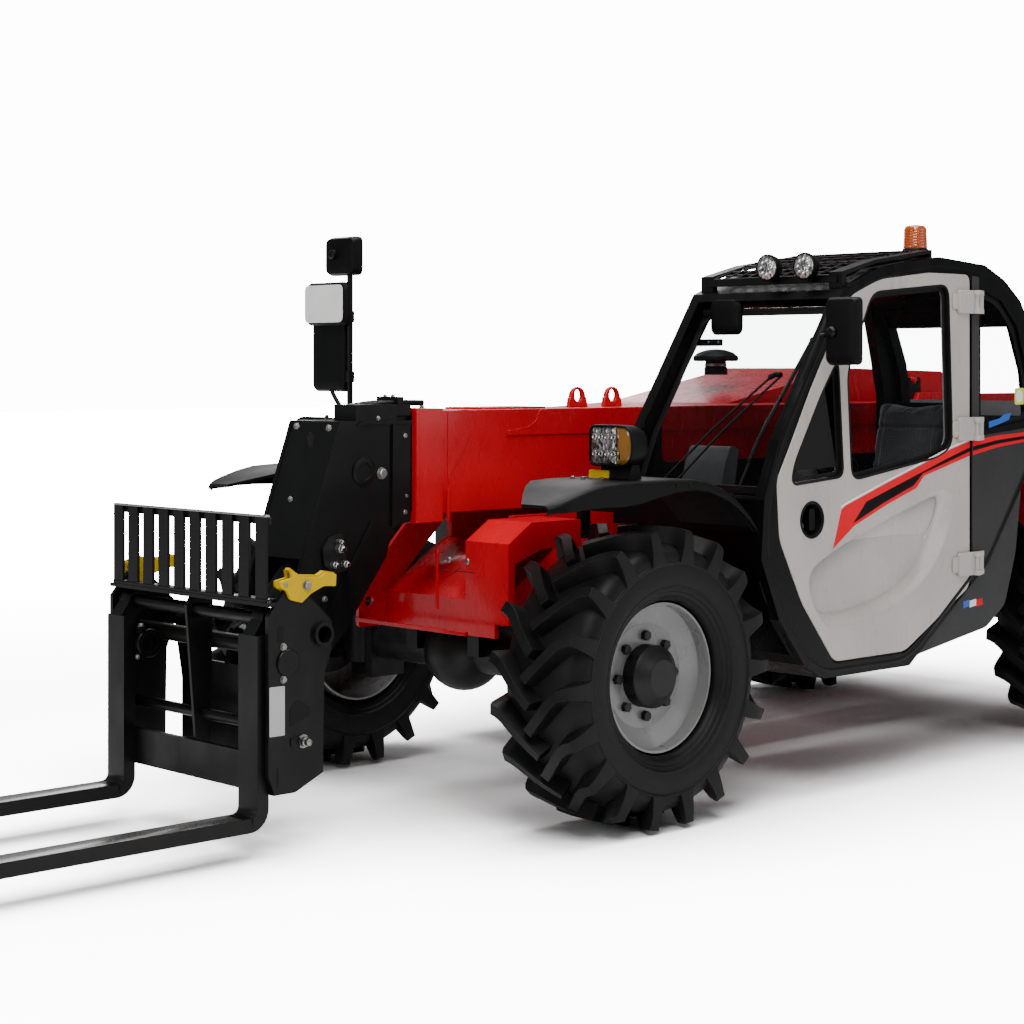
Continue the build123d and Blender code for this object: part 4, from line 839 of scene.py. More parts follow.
def make_recess():
    """The recess falls steeply from its rim to a floor that is nearly flat."""
    bowl = Form(RECESS_GREY)
    collar = inset(RIM_EDGE, -5)
    rows = [[(x, CAB_OUT + rise, z) for x, z in collar] for rise in (-34.5, 0.2)]
    steps = 14
    for step in range(steps + 1):
        t = math.sin(math.pi / 2 * step / steps)
        fall = 0.6 * (1 - math.sqrt(max(0, 1 - t * t))) + 0.4 * t
        rows.append([
            (a[0] + (b[0] - a[0]) * t, CAB_OUT + 0.3 - recess_depth(b[1]) * fall, a[1] + (b[1] - a[1]) * t)
            for a, b in zip(RIM_EDGE, FLOOR_EDGE)
        ])
    mid_x, mid_z = (sum(p[i] for p in FLOOR_EDGE) / len(FLOOR_EDGE) for i in (0, 1))
    for shrink in (0.97, 0.85, 0.65, 0.4, 0.15):
        spots = [(mid_x + (x - mid_x) * shrink, mid_z + (z - mid_z) * shrink) for x, z in FLOOR_EDGE]
        rows.append([(x, CAB_OUT - recess_depth(z) - (1 - shrink), z) for x, z in spots])
    bowl.rings(rows)
    bowl.done("door_recess", "door", angle=34)


def make_door_handle():
    """Dish with a grip behind its rim and a lock below."""
    dish = Form(BLACK_PLASTIC, ZINC)
    x, z = HANDLE
    centre = Vector((x, CAB_OUT, z))
    bowl = [(-34, 1), (-34, 40), (-28, 50), (0, 56), (3.5, 60), (3.5, 66), (0, 67.5), (-36, 60), (-38, 1)]
    dish.turned(bowl, centre, Y, 0, 48)
    dish.prism(box_outline(x - 30, x + 4, z - 40, z + 40, 14), CAB_OUT - 30, CAB_OUT - 10)
    dish.turned([(0, 10), (6, 10), (7, 8)], centre + Vector((25, -30, -22)), Y, 1, 20)
    dish.done("door_handle", "door", 1.5)


def make_hinge_leaves():
    leaves = Form(DOOR_GREY)
    for z in (1790, 1300, 780):
        leaves.prism(box_outline(-1737, -1630, z - 45, z + 45, 14), CAB_OUT, CAB_OUT + 16)
        leaves.prism(box_outline(-1640, -1600, z - 30, z + 30, 12), CAB_OUT, CAB_OUT + 9)
    leaves.done("hinge_leaves", "door", 4, 30, segments=3)


def make_door():
    skin = [DOOR_EDGE, MAIN_EDGE, SMALL_EDGE, circle(HANDLE, 58), RIM_EDGE]
    plate("door_skin", skin, CAB_OUT, 40, "door", DOOR_GREY, 4, ("door_shell",))
    make_recess()
    gasket("door_seal", inset(DOOR_EDGE, -0.5), 6, 6, CAB_OUT - 4, 34, "door", 2)
    for name, outline in (("main", MAIN_EDGE), ("small", SMALL_EDGE)):
        gasket(f"door_{name}_border", outline, 8, 18, 955, 4, "door")
        gasket(f"door_{name}_lip", outline, 7, 1, CAB_OUT + 1.5, 20, "door")
    make_door_handle()
    make_hinge_leaves()


make_door()


# ---- Stripe: red with a black inner band, over the door and the rear panel ----
STRIPE_UPPER = [(-921, 1024), (-946, 1037), (-1177, 1106), (-1417, 1174), (-1600, 1226), (-1717, 1251.5)]
STRIPE_LOWER = [
    (-872, 885), (-935, 925), (-996, 962), (-1190, 1030), (-1372, 1084), (-1420, 1128), (-1560, 1160),
    (-1717, 1196),
]
BAND_UPPER = [(-1066, 1046), (-1200, 1084), (-1411, 1144), (-1560, 1187), (-1717, 1228)]
BAND_LOWER = [(-990, 972), (-1170, 1038), (-1356, 1096), (-1412, 1138), (-1560, 1174), (-1717, 1213)]
EDGE_UPPER = [(-915, 1035), (-944, 1047), (-1177, 1116), (-1417, 1184), (-1600, 1236), (-1717, 1261.5)]
EDGE_LOWER = [(-918, 1029), (-946, 1041), (-1177, 1110), (-1417, 1178), (-1600, 1230), (-1717, 1255.5)]
PANEL_STRIPE_X = (-1735, -1900, -2080, -2166)


def ribbon(name, upper, lower, body, finish, y):
    plate(name, [[*upper, *reversed(lower)]], y, 1.2, body, finish, 0.3)


def make_stripe():
    y = CAB_OUT + 1.2
    ribbon("stripe_red", STRIPE_UPPER, STRIPE_LOWER, "door", STRIPE_RED, y)
    ribbon("stripe_black", BAND_UPPER, BAND_LOWER, "door", GLOSS_BLACK, y + 0.7)
    ribbon("stripe_light_edge", EDGE_UPPER, EDGE_LOWER, "door", WHITE, y)
    y = PANEL_OUT + 1
    for name, finish, rise, upper, lower in (
        ("panel_stripe_red", STRIPE_RED, 0, (1254, 1271, 1279, 1281), (1198, 1224, 1240, 1243)),
        ("panel_stripe_black", GLOSS_BLACK, 0.7, (1231, 1252, 1264, 1266), (1215, 1238, 1252, 1254)),
    ):
        edges = [list(zip(PANEL_STRIPE_X, heights)) for heights in (upper, lower)]
        ribbon(name, *edges, "chassis", finish, y + rise)


make_stripe()


# ---- Roof: guard mesh, work lamps, beacon ----
def make_roof_mesh():
    line = [(-957, 1876), (-1060, 1908), (-1149, 1934), (-1260, 1950), (-1380, 1967), (-1494, 1984)]
    guard = Form(BLACK)
    for index in range(11):
        y = 335 + index * 55
        guard.tube([(x, y, z) for x, z in line], 3.5, count=8)
    for x, z in line[:-1]:
        guard.tube([(x - 50, 330, z + 12), (x - 50, 890, z + 12)], 3.5, count=8)
    guard.block((-966, 300, 1846), (-944, 930, 1872))
    guard.done("roof_mesh", "chassis")


def make_work_lamps():
    """Two round lamps: housing, reflector with a ring of eight lights, domed glass, foot."""
    lamp = Form(BLACK_PLASTIC, CHROME, LAMP)
    for y in (646, 821):
        at = Vector((-890, y, 1907))
        lamp.turned([(-60, 18), (-56, 30), (-40, 43), (-12, 50), (0, 50), (2, 47), (-2, 45.5)], at, X, 0, 40)
        lamp.turned([(-30, 10), (-14, 36), (-4, 45.5)], at, X, 1, 40)
        lamp.turned([(-4, 46), (0, 44), (4, 32), (6, 16), (6.5, 1)], at, X, 2, 40)
        for across, up in circle((0, 0), 26, 8):
            lamp.turned([(0, 9), (5.5, 7), (7.5, 1)], at + Vector((1, across, up)), X, 1, 14)
        lamp.block((-948, y - 12, 1850), (-925, y + 12, 1880))
    lamp.done("work_lamps", "chassis")


def make_beacon():
    light = Form(BLACK_PLASTIC, BEACON, CHROME)
    at = (-1600, 800, 1955)
    light.turned([(0, 44), (6, 58), (14, 59), (20, 52), (40, 50), (44, 47)], at, Z, 0, 48)
    ridge = [(44, 46)]
    for k in range(7):
        z, taper = 48 + k * 10.5, k * 0.4
        ridge += [(z, 46.8 - taper), (z + 6, 46.2 - taper), (z + 9.5, 45 - taper)]
    light.turned([*ridge, (126, 41), (132, 34), (134.8, 16), (135, 1)], at, Z, 1, 48)
    light.turned([(46, 16), (80, 20), (110, 14)], at, Z, 2, 24)
    light.done("beacon_light", "chassis", replaces=("beacon",))


make_roof_mesh()
make_work_lamps()
make_beacon()


# ---- Head and tail lamps ----
LAMP_INNER, LAMP_SPLIT, LAMP_OUTER = 712, 838, 915
LAMP_FLOOR, LAMP_TOP = 1206, 1346


def lamp_face(side, x, shrink, near=LAMP_INNER, far=LAMP_OUTER, corners=(30, 30, 62, 62)):
    """Outline of the headlamp at one depth, drawn in by an amount."""
    floor, top = LAMP_FLOOR + shrink, LAMP_TOP - shrink
    near, far = near + shrink, far - shrink
    outline = [(near, floor), (near, top), (far, top), (far, floor)]
    return [(x, side * y, z) for y, z in rounded(outline, [c - shrink * 0.4 for c in corners], 8)]


def make_headlamp(side, name):
    lamp = Form(BLACK_PLASTIC, CHROME, LAMP, AMBER, YELLOW)
    housing = ((22, 30), (30, 12), (55, 3), (105, 0), (114, 1), (117, 5), (106, 9), (88, 12))
    lamp.rings([lamp_face(side, x, shrink) for x, shrink in housing])
    for near, far, corners, finish in (
        (LAMP_INNER, LAMP_SPLIT + 6, (22, 22, 4, 4), 2), (LAMP_SPLIT - 6, LAMP_OUTER, (4, 4, 58, 58), 3)
    ):
        lens_steps = ((100, 8), (110, 9), (114, 14), (115.5, 26))
        lamp.rings([lamp_face(side, x, shrink, near, far, corners) for x, shrink in lens_steps], finish)
    for k in range(4):
        for z in (1248, 1304):
            spot = (113.5, side * (LAMP_INNER + 26 + k * 29), z)
            lamp.turned([(0, 13.5), (2.2, 12.5), (3.2, 8), (1.2, 1)], spot, X, 1, 6)
    foot = rounded([(40, 1163.6), (100, 1163.6), (86, 1212), (50, 1212)], 4, 3)
    lamp.prism(foot, *sorted((side * 745, side * 885)))
    for y in (700, 770):
        lamp.bolt((110, side * y, 1163.2), Z, 14, 1)
    if side > 0:
        lamp.prism(box_outline(700, 792, 1166, 1192, 3), 93.5, 101, 4, "x")
    return lamp.done(f"headlamp_{name}", "chassis", 1.5)


def make_tail_lamp(side, name):
    rear_x = (cad_box[0].x - FRONT_X) * METRE
    tail = Form(BLACK_PLASTIC, RED_LENS, AMBER)
    low, high = sorted((side * 660, side * 880))
    tail.block((rear_x + 20, low, 1000.5), (rear_x + 70, high, 1100))
    for inner, outer, finish in ((668, 768, 1), (774, 872, 2)):
        low, high = sorted((side * inner, side * outer))
        tail.block((rear_x + 13, low, 1010), (rear_x + 22, high, 1092), finish)
    tail.done(f"tail_lamp_{name}", "chassis", 4, segments=3)


left_lamp = make_headlamp(1, "left")
make_tail_lamp(1, "left")
make_headlamp(-1, "right")
make_tail_lamp(-1, "right")
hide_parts("lamps")


# ---- Mirrors ----
def shell_box(form, x_low, x_high, y_low, y_high, z_low, z_high, radius):
    """Mirror casing: rounded in front view, domed towards its back (+x)."""
    middle = x_low + (x_high - x_low) * 0.45
    steps = ((x_low, 3), (x_low + 3, 0), (middle, 0), (x_high - 6, 8), (x_high - 1, 22), (x_high, 40))
    rows = []
    for x, shrink in steps:
        outline = box_outline(y_low + shrink, y_high - shrink, z_low + shrink, z_high - shrink, radius)
        rows.append([(x, y, z) for y, z in outline])
    form.rings(rows)


def bent(form, points, radius, finish=0, count=12):
    """Round bar along a smooth line through points."""
    form.tube(spline_points(points), radius, finish, count)


def make_left_mirror():
    left = Form(BLACK_PLASTIC, MIRROR, BLACK)
    shell_box(left, -797, -755, 1018, 1163, 1545, 1785, 22)
    left.prism(box_outline(1028, 1153, 1556, 1774, 16), -799, -796, 1, "x")
    bent(left, [(-800, 968, 1650), (-805, 992, 1652), (-790, 1018, 1655), (-780, 1040, 1660)], 9, 2)
    left.turned([(-10, 14), (0, 20), (18, 20), (26, 13)], (-764, 1060, 1662), X, 2, 24)
    left.done("mirror_left", "chassis", 1, replaces=("mirrors",))


def make_right_mirrors():
    """Stalk on the right fender with a driving mirror, a wide one above it and a casing in front whose white
    plate paints the bright face of a mirror, a painted reflection.
    """
    right = Form(BLACK_PLASTIC, MIRROR, BLACK, WHITE)
    stalk_x, stalk_y = -150, -890
    shell_box(right, -170, -130, -1118, -900, 1440, 1800, 26)
    right.prism(box_outline(-1106, -912, 1452, 1788, 18), -172, -169, 1, "x")
    shell_box(right, -128, -94, -1119, -856, 1706, 1878, 32)
    # Painted reflection: this white plate stands for the bright face of a mirror.
    right.prism(box_outline(-1108, -867, 1717, 1867, 24), -94.5, -91.5, 3, "x")
    right.tube([(stalk_x, stalk_y, 1793), (-122, -950, 1793)], 9, 2)
    shell_box(right, -170, -118, -1020, -830, 1905, 2060, 26)
    right.prism(box_outline(-1010, -840, 1915, 2050, 18), -172, -169, 1, "x")
    right.turned([(0, 22), (12, 20), (18, 12)], (-119, -955, 1990), X, 2, 20)
    stalk = [(-860, 1150), (-880, 1220), (stalk_y, 1320), (stalk_y, 1900), (-895, 1960)]
    bent(right, [(stalk_x, y, z) for y, z in stalk], 12, 2, 14)
    arm = [(stalk_x, stalk_y, 1350), (-135, -930, 1380), (-140, -990, 1440), (stalk_x, -1000, 1480)]
    bent(right, arm, 9, 2)
    for z in (1500, 1740, 1940):
        right.turned([(-22, 18), (22, 18)], (stalk_x, stalk_y, z), Z, 2, 20)
    right.turned([(0, 30), (6, 30), (10, 22), (30, 20)], (stalk_x, -860, 1163.5), Z, 2, 24)
    right.done("mirror_right", "chassis", 1)


make_left_mirror()
make_right_mirrors()


# ---- Engine bay: raised side panel, louvres, screws ----
def make_bay():
    low, high = extent("engine_bay")
    panel = Form(DARK_GREY, ZINC, SEAL)
    start, end, middle = low.x + 100, high.x - 100, (low.x + high.x) / 2
    floor, top = low.z + 60, high.z - 80
    for rear, front in ((start, middle - 8), (middle + 8, end)):
        edge = rounded([(rear, floor), (rear, top), (front, top), (front, floor)], 30, 5)
        panel.prism(edge, low.y - 6, low.y + 2)
        for x in (rear + 35, front - 35):
            for z in (floor + 35, top - 35):
                panel.bolt((x, low.y - 6, z), -Y, 16, 1)
    for k in range(9):
        z = floor + 120 + k * 26
        rear, front = start + 120, middle - 130
        panel.prism([(rear, z), (rear, z + 12), (front, z + 12), (front, z)], low.y - 12.5, low.y - 5)
        # Painted shade: a black strip under each louvre stands for the shade of its slot.
        panel.prism([(rear, z - 12), (rear, z), (front, z), (front, z - 12)], low.y - 6.6, low.y - 5, 2)
    panel.done("bay_side_panel", "chassis", 1.5)


make_bay()


# ---- Fenders: pressed sheet with a deep rolled lip ----
FENDER_TOP = 1163
FENDER_SIDE = 960
SHEET = 12
ROLL = 20  # radius of the fold above the lip
# Along the fender: x, height of the top, inner edge, outer edge, depth of the lip
FENDER_LINE = [
    (512, 1098, 800, 925, 22), (480, 1108, 770, 950, 34), (430, 1124, 722, 958, 48),
    (360, 1144, 660, FENDER_SIDE, 62), (290, 1158, 612, FENDER_SIDE, 74),
    (200, 1162.5, 602, FENDER_SIDE, 80), (120, FENDER_TOP, 602, FENDER_SIDE, 74),
    (40, FENDER_TOP, 602, FENDER_SIDE, 58), (-60, 1162.8, 602, FENDER_SIDE, 42),
    (-150, 1160, 602, FENDER_SIDE, 36), (-220, 1150, 602, FENDER_SIDE, 36),
    (-300, 1122, 602, FENDER_SIDE, 34), (-370, 1082, 602, FENDER_SIDE, 32),
    (-430, 1034, 602, FENDER_SIDE, 30), (-472, 992, 602, 956, 26),
]


def fender_section(index, side):
    """Closed section across the fender: over its top, down the lip and back along the underside."""
    x, z, inner, outer, depth = FENDER_LINE[index]
    ahead, behind = FENDER_LINE[max(index - 1, 0)], FENDER_LINE[min(index + 1, len(FENDER_LINE) - 1)]
    run = Vector((ahead[0] - behind[0], ahead[1] - behind[1])).normalized()
    down = Vector((run.y * SHEET, -run.x * SHEET))
    top = [(inner + (outer - inner) * share, 0) for share in (0, 0.35, 0.7)]
    for k in range(6):
        turn = math.pi / 2 * k / 5
        top.append((outer - ROLL + ROLL * math.sin(turn), -ROLL + ROLL * math.cos(turn)))
    top.append((outer, -depth))
    ring = [(x, side * y, z + rise) for y, rise in top]
    ring.append((x + down.x * 0.4, side * (outer - SHEET), z - depth))
    for y, rise in reversed(top[:-1]):
        ring.append((x + down.x, side * min(y, outer - SHEET), z + rise + down.y))
    return ring


def make_fender(side, name, replaces):
    skin = Form(BLACK_PLASTIC)
    skin.rings([fender_section(index, side) for index in range(len(FENDER_LINE))])
    for x, z in ((-54, 1146), (-120, 1142)):
        skin.turned([(0, 7), (3, 6.5), (4.5, 1)], (x, side * FENDER_SIDE, z), Y * side, 0, 16)
    bracket = [
        (390.3, 930), (420, 930), (420, 1030), (660, 1030), (660, 1146.5), (620, 1146.5), (620, 1060),
        (390.3, 1060),
    ]
    skin.prism([(side * y, z) for y, z in bracket], -190, -150, 0, "x")
    skin.done(f"fender_{name}", "chassis", 1.5, 35, replaces)
    trim = Form(ZINC)
    for y in (670, 720):
        for x in (150, 40):
            trim.bolt((x, side * y, FENDER_TOP), Z, 16)
    trim.done(f"fender_bolts_{name}", "chassis", 0.4)


make_fender(1, "left", ("fenders",))
make_fender(-1, "right", ())


# ---- Boom: collar plates, raised seams, top plate, wear-pad bolts, lifting eyes ----
boom_low, boom_high = extent("outer_boom")
BOOM_FRONT, BOOM_TOP = boom_high.x, boom_high.z
BOOM_SIDE = 100  # how far left the boom's left face lies
SEAM = [
    (-82, 1290), (-82, 1308), (-190, 1320), (-228, 1345), (-238, 1372), (-250, 1384), (-2600, 1384),
    (-2600, 1290),
]
# Distance behind the boom's front face, height
COLLAR = [(179, 1169), (229, 1224), (266, 1289), (266, 1372), (259, 1387), (162, 1383), (162, 1120)]


def make_boom_seams():
    seams = Form(RED)
    strip = rounded(SEAM, [4, 30, 20, 20, 10, 4, 20, 20], 5)
    collar = rounded([(BOOM_FRONT - back, z) for back, z in COLLAR], 12, 4)
    for side in (1, -1):
        level = BOOM_Y + side * (BOOM_SIDE - BOOM_Y)
        seams.prism(strip, *sorted((level + side * 0.5, level + side * 4.8)))
        seams.prism(collar, *sorted((level, level + side * 3)))
    right, left = BOOM_Y - 100, BOOM_Y + 100
    hump = rounded([(20, right), (20, left), (-330, left), (-330, right)], 30, 5)
    seams.prism(hump, BOOM_TOP - 9, BOOM_TOP - 1, 0, "z")
    seams.done("boom_seams", "boom", 1.2)


def make_pad_bolts():
    bolts = Form(ZINC)
    for y in (BOOM_Y - 60, BOOM_Y + 60):
        for back in (40, 110):
            bolts.bolt((BOOM_FRONT - back, y, BOOM_TOP), Z, 18)
    bolts.done("boom_pad_bolts", "boom", 0.4)


def make_lifting_eyes():
    low, high = extent("lifting_eyes")
    foot, shoulder, crown = low.z, low.z + (high.z - low.z) * 0.45, high.z - 40
    for index, x in enumerate((low.x + 55, high.x - 55)):
        arc = [math.pi * k / 12 for k in range(13)]
        arch = [(x - 52, foot), (x - 46, shoulder)]
        arch += [(x - 40 * math.cos(t), crown + 40 * math.sin(t)) for t in arc]
        arch += [(x + 46, shoulder), (x + 52, foot)]
        hole = [(x + 20 * math.cos(t), foot + 44.5 + 24 * math.sin(t)) for t in turns(32)]
        replaces = () if index else ("lifting_eyes",)
        plate(f"lifting_eye_{index}", [arch, hole], BOOM_Y + 9, 18, "boom", RED, 4, replaces)


def make_collar_ribs():
    """Upright ribs at the front edge of the boom and behind its collar."""
    ribs = Form(RED)
    half, middle = (boom_high.y - boom_low.y) / 2, (boom_high.y + boom_low.y) / 2
    for back, front, top in ((16, 0.5, BOOM_TOP - 1), (157, 145, 1108)):
        for side in (1, -1):
            low, high = sorted((middle + side * (half - 1), middle + side * (half + 7)))
            ribs.block((BOOM_FRONT - back, low, 993), (BOOM_FRONT - front, high, top))
    ribs.done("boom_collar_ribs", "boom", 1.6)


make_boom_seams()
make_pad_bolts()
make_lifting_eyes()
make_collar_ribs()


# ---- Boom head: bolts, valve plate, ribs, hoses ----
HEAD_HALF = 140.3
HEAD_LEFT = BOOM_Y + HEAD_HALF


def make_head_fittings():
    fittings = Form(ZINC, BLACK, CASTING, CHROME)
    both = ((512, 1172, 34), (527, 1362, 14), (408, 1300, 18), (408, 1034, 18), (400, 1090, 13))
    sides = [(x, z, size, (1, -1)) for x, z, size in both]
    for x, z, size, where in ((905, 1100, 15, (1,)), (760, 757, 18, (1,)), *sides):
        for side in where:
            fittings.bolt((x, BOOM_Y + side * HEAD_HALF, z), Y * side, size)
    valve = rounded([(668, 850), (690, 975), (745, 965), (775, 925), (768, 870), (720, 840)], 8, 3)
    fittings.prism(valve, HEAD_LEFT, HEAD_LEFT + 10, 2)
    for x, z, r in ((709, 925, 16), (735, 872, 12), (688, 872, 13), (712, 948, 9)):
        at = (x, HEAD_LEFT + 10, z)
        fittings.turned([(0, r * 1.05), (6, r * 1.05), (6, r), (20, r), (22, r * 0.8)], at, Y, 0, 6)
        fittings.turned([(20, r * 0.72), (30, r * 0.72), (31, r * 0.5)], at, Y, 3, 20)
    for x, z in ((879, 1342), (743, 1333)):
        fittings.bolt((x, HEAD_LEFT, z), Y, 18)
    tag = rounded([(826, 1270), (812, 1270), (806, 1312), (822, 1322), (834, 1306)], 5, 3)
    fittings.prism(tag, HEAD_LEFT, HEAD_LEFT + 1.6, 1)
    boss = [(0, 50), (4, 50), (7, 44), (7, 30), (3, 28), (3, 1)]
    fittings.turned(boss, (590, HEAD_LEFT, 1181), Y, 1, 40)
    fittings.done("head_fittings", "telescope", 0.5)


def make_head_ribs():
    ribs = Form(BLACK)
    upright = rounded([(452, 1340), (466, 1340), (470, 986), (452, 986)], 4, 3)
    upper = rounded([(380, 1352), (600, 1352), (624, 1340), (380, 1340)], 3, 3)
    for side in (1, -1):
        y = BOOM_Y + side * HEAD_HALF
        for outline in (upright, upper):
            ribs.prism(outline, *sorted((y, y + side * 9)))
    ribs.prism(box_outline(386, 470, 1000, 1338, 12), HEAD_LEFT, HEAD_LEFT + 3.5)
    slanted = rounded([(800, 640), (560, 1010), (545, 1000), (785, 630)], 4, 3)
    ribs.prism(slanted, HEAD_LEFT, HEAD_LEFT + 7)
    ribs.done("head_ribs", "telescope", 1.2)


def make_head_hoses():
    hoses = Form(BLACK_PLASTIC, ZINC, BLACK)
    top = extent("boom_head")[1].z
    for y in (-12, 30, 72):
        line = [(300, 1412.5), (395, 1412.5), (480, 1410), (560, 1398), (605, 1370)]
        hoses.tube(spline_points([(x, y, z) for x, z in line], 8), 10.5, 0, 14)
    hoses.block((405, -22, top + 0.2), (432, 94, top + 26), 2)
    hoses.block((560, -22, 1372), (586, 94, 1405), 2)
    for x, z in ((418.5, top + 26), (573, 1405)):
        for y in (9, 51):
            hoses.bolt((x, y, z), Z, 14, 1)
    hoses.done("head_hoses", "telescope", 0.8)


make_head_fittings()
make_head_ribs()
make_head_hoses()


# ---- Carriage: guard edge, bolts, side plates, shaft collars, worn fork tops, latches ----
CARRIAGE_LEFT, CARRIAGE_RIGHT = BOOM_Y + 450, BOOM_Y - 450
FORK_OUT = 375  # from the carriage's middle to the middle of a fork
FORK_THICK = 45
LATCH = [
    (1186, 868), (1186, 849), (1161, 836), (1147, 808), (1103, 796), (1066, 823), (1015, 843), (967, 839),
    (965, 878), (1007, 884), (1030, 872), (1110, 878), (1147, 902), (1142, 877),
]
LATCH_WEB = [
    (967, 874), (966, 882), (1007, 890), (1030, 878), (1108, 884), (1144, 908), (1150, 902), (1111, 876),
    (1030, 870), (1007, 882),
]


def make_guard_edge():
    edge = Form(STEEL, BLACK)
    right, left, top = CARRIAGE_RIGHT + 18, CARRIAGE_LEFT - 18, extent("load_guard")[1].z
    edge.block((1206, right, top - 6), (1222.6, left, top - 0.2), 0)
    edge.block((1198.5, right, top - 30), (1211.8, left, top - 6.5), 1)
    edge.done("guard_edge", "carriage", 1.2)


def side_plate_fittings(detail, side, y):
    """Pin cover, bolts, a dark patch painted for the shade in a slot, labels and a greased pin on one side
    plate of the carriage.
    """
    out = Y * side
    detail.turned([(0, 43), (6, 43), (9, 40), (9.5, 1)], (1150, y, 611), out, 1, 40)
    for z in (662, 560):
        detail.bolt((1168, y, z), out, 20)
    mark = rounded([(1108, 492), (1142, 470), (1145, 405), (1055, 440), (1070, 470)], 16, 4)
    for outline, thick, finish in (
        # Painted shade: this first dark patch stands for a slot in the plate.
        (box_outline(1166, 1190, 676, 730, 10), 1.4, 2),
        (mark, 1.4, 2),
        (box_outline(1185, 1191.5, 225, 285, 2), 1.4, 2),
        (box_outline(1163, 1222, 385, 540, 4), 2.2, 3),
    ):
        detail.prism(outline, *sorted((y, y + side * thick)), finish)
    pin = [(0, 22), (4, 22), (4, 16), (18, 16), (20, 12), (34, 11), (35, 8)]
    detail.turned(pin, (1090, y, 358), out, 0, 20)
    detail.prism(box_outline(1070, 1140, 345, 372, 6), *sorted((y, y + side * 4)), 1)


def shaft_collar(detail, side):
    """Split collar on the fork shaft beside a fork, with its two clamping lugs."""
    inner = BOOM_Y + side * (FORK_OUT - 66)
    low, high = sorted((inner, inner - side * 22))
    middle = (low + high) / 2
    collar = [(-11, 30), (-11, 46), (-8, 49), (8, 49), (11, 46), (11, 30)]
    detail.turned(collar, (1170, middle, 605), Y, 1, 32, closed=True)
    detail.block((1188, low, 640), (1212, high, 664), 1)
    detail.bolt((1200, middle, 664), Z, 20)
    detail.block((1188, low, 552), (1212, high, 572), 1)
    detail.bolt((1212, middle, 562), X, 16)


def make_carriage_fittings():
    detail = Form(ZINC, BLACK, SEAL, PLATE)
    for y in (-430, -70, 30, 380, -250, 210):
        detail.bolt((1206.5, y, 802.2), Z, 24)
    side_plate_fittings(detail, 1, CARRIAGE_LEFT)
    side_plate_fittings(detail, -1, CARRIAGE_RIGHT)
    shaft_collar(detail, 1)
    shaft_collar(detail, -1)
    detail.done("carriage_fittings", "carriage", 0.6)


def make_worn_tops():
    """Bright steel where the paint has worn off the forks' tops."""
    steel = Form(STEEL)
    low, high = extent("forks")
    worn = ((-44, 0.2), (44, 0.2), (42, 1.2), (-42, 1.2))
    for side in (1, -1):
        y, z = BOOM_Y + side * FORK_OUT, low.z + FORK_THICK
        stations = (TOOL_X + 55, TOOL_X + 400, TOOL_X + 800, high.x - 4)
        steel.rings([[(x, y + across, z + rise) for across, rise in worn] for x in stations])
    steel.done("fork_worn_tops", "carriage")


def make_latches():
    """Yellow hooks on both faces of each side plate, joined over its top by a web."""
    hooks = Form(YELLOW, ZINC)
    outline = rounded(LATCH, 5, 3)
    for side, outer in ((1, CARRIAGE_LEFT), (-1, CARRIAGE_RIGHT)):
        inner = outer - side * 16
        for y, way in ((outer, side), (inner, -side)):
            face = y + way * 12
            hooks.prism(outline, *sorted((y + way * 0.4, face)))
            hooks.bolt((1085, face, 850), Y * way, 26, 1)
            hooks.turned([(0, 8), (2.5, 7), (3, 1)], (1166, face, 857), Y * way, 1, 16)
        hooks.prism(LATCH_WEB, *sorted((outer + side * 2, inner - side * 2)))
    hooks.done("yellow_latches", "carriage", 2.2, 30, ("latches",), 3)


make_guard_edge()
make_carriage_fittings()
make_worn_tops()
make_latches()


# ---- Nose: bolts, edges and a seam ----
def make_nose_edges():
    nose = Form(RED, ZINC, SEAL)
    front = extent("front_nose")[1].x
    for y in (270, 365):
        nose.turned([(0, 11), (3, 10.5), (6, 7), (6.5, 1)], (front, y, 875), X, 1, 20)
    nose.block((front - 4, 203, 700), (front + 4.5, 213, 905))
    nose.block((front - 2, 214, 838), (front + 2.2, 400, 840.5), 2)
    nose.block((front - 12, -235, 620), (front + 4, 355, 634))
    nose.done("nose_edges", "chassis", 1.6)


make_nose_edges()


# ---- Windscreen: wiper and inside mirror ----
SCREEN_LINE = [(-561, 1087), (-651, 1290), (-776, 1480), (-950, 1752)]
SCREEN_OUT = (0.9, 0, 0.4)


def on_screen(y, z, lift):
    """Point on the windscreen, lifted off its face."""
    for (x0, z0), (x1, z1) in zip(SCREEN_LINE, SCREEN_LINE[1:]):
        if z <= z1 or (x1, z1) == SCREEN_LINE[-1]:
            x = x0 + (x1 - x0) * (z - z0) / (z1 - z0)
            out = Vector((z1 - z0, 0, x0 - x1)).normalized()
            return Vector((x, y, z)) + out * lift


def straight(start, end, count):
    """Evenly spaced points (y, z) from start to end."""
    return [tuple(a + (b - a) * k / count for a, b in zip(start, end)) for k in range(count + 1)]


def make_wiper():
    """Two arms that carry one blade."""
    wiper = Form(BLACK, SEAL, ZINC)
    for foot, hinge in ((430, 770), (496, 812)):
        wiper.tube([on_screen(y, z, 20) for y, z in straight((foot, 1112), (hinge, 1492), 8)], 4.5, 0, 10)
        wiper.turned([(-20, 14), (0, 14), (10, 12), (20, 9)], on_screen(foot, 1112, 4), SCREEN_OUT, 0, 20)
    wiper.tube([on_screen(y, z, 22) for y, z in ((765, 1488), (790, 1500), (815, 1498))], 10)
    blade = straight((795, 1095), (905, 1735), 12)
    wiper.tube([on_screen(y, z, 12) for y, z in blade], 5.5, 1, 10)
    wiper.tube([on_screen(y, z, 20) for y, z in blade[2:-2]], 4, 0, 10)
    for y, z in blade[2:11:4]:
        wiper.turned([(-4, 9), (6, 9)], on_screen(y, z, 15), SCREEN_OUT, 0, 14)
    wiper.done("screen_wiper", "chassis")


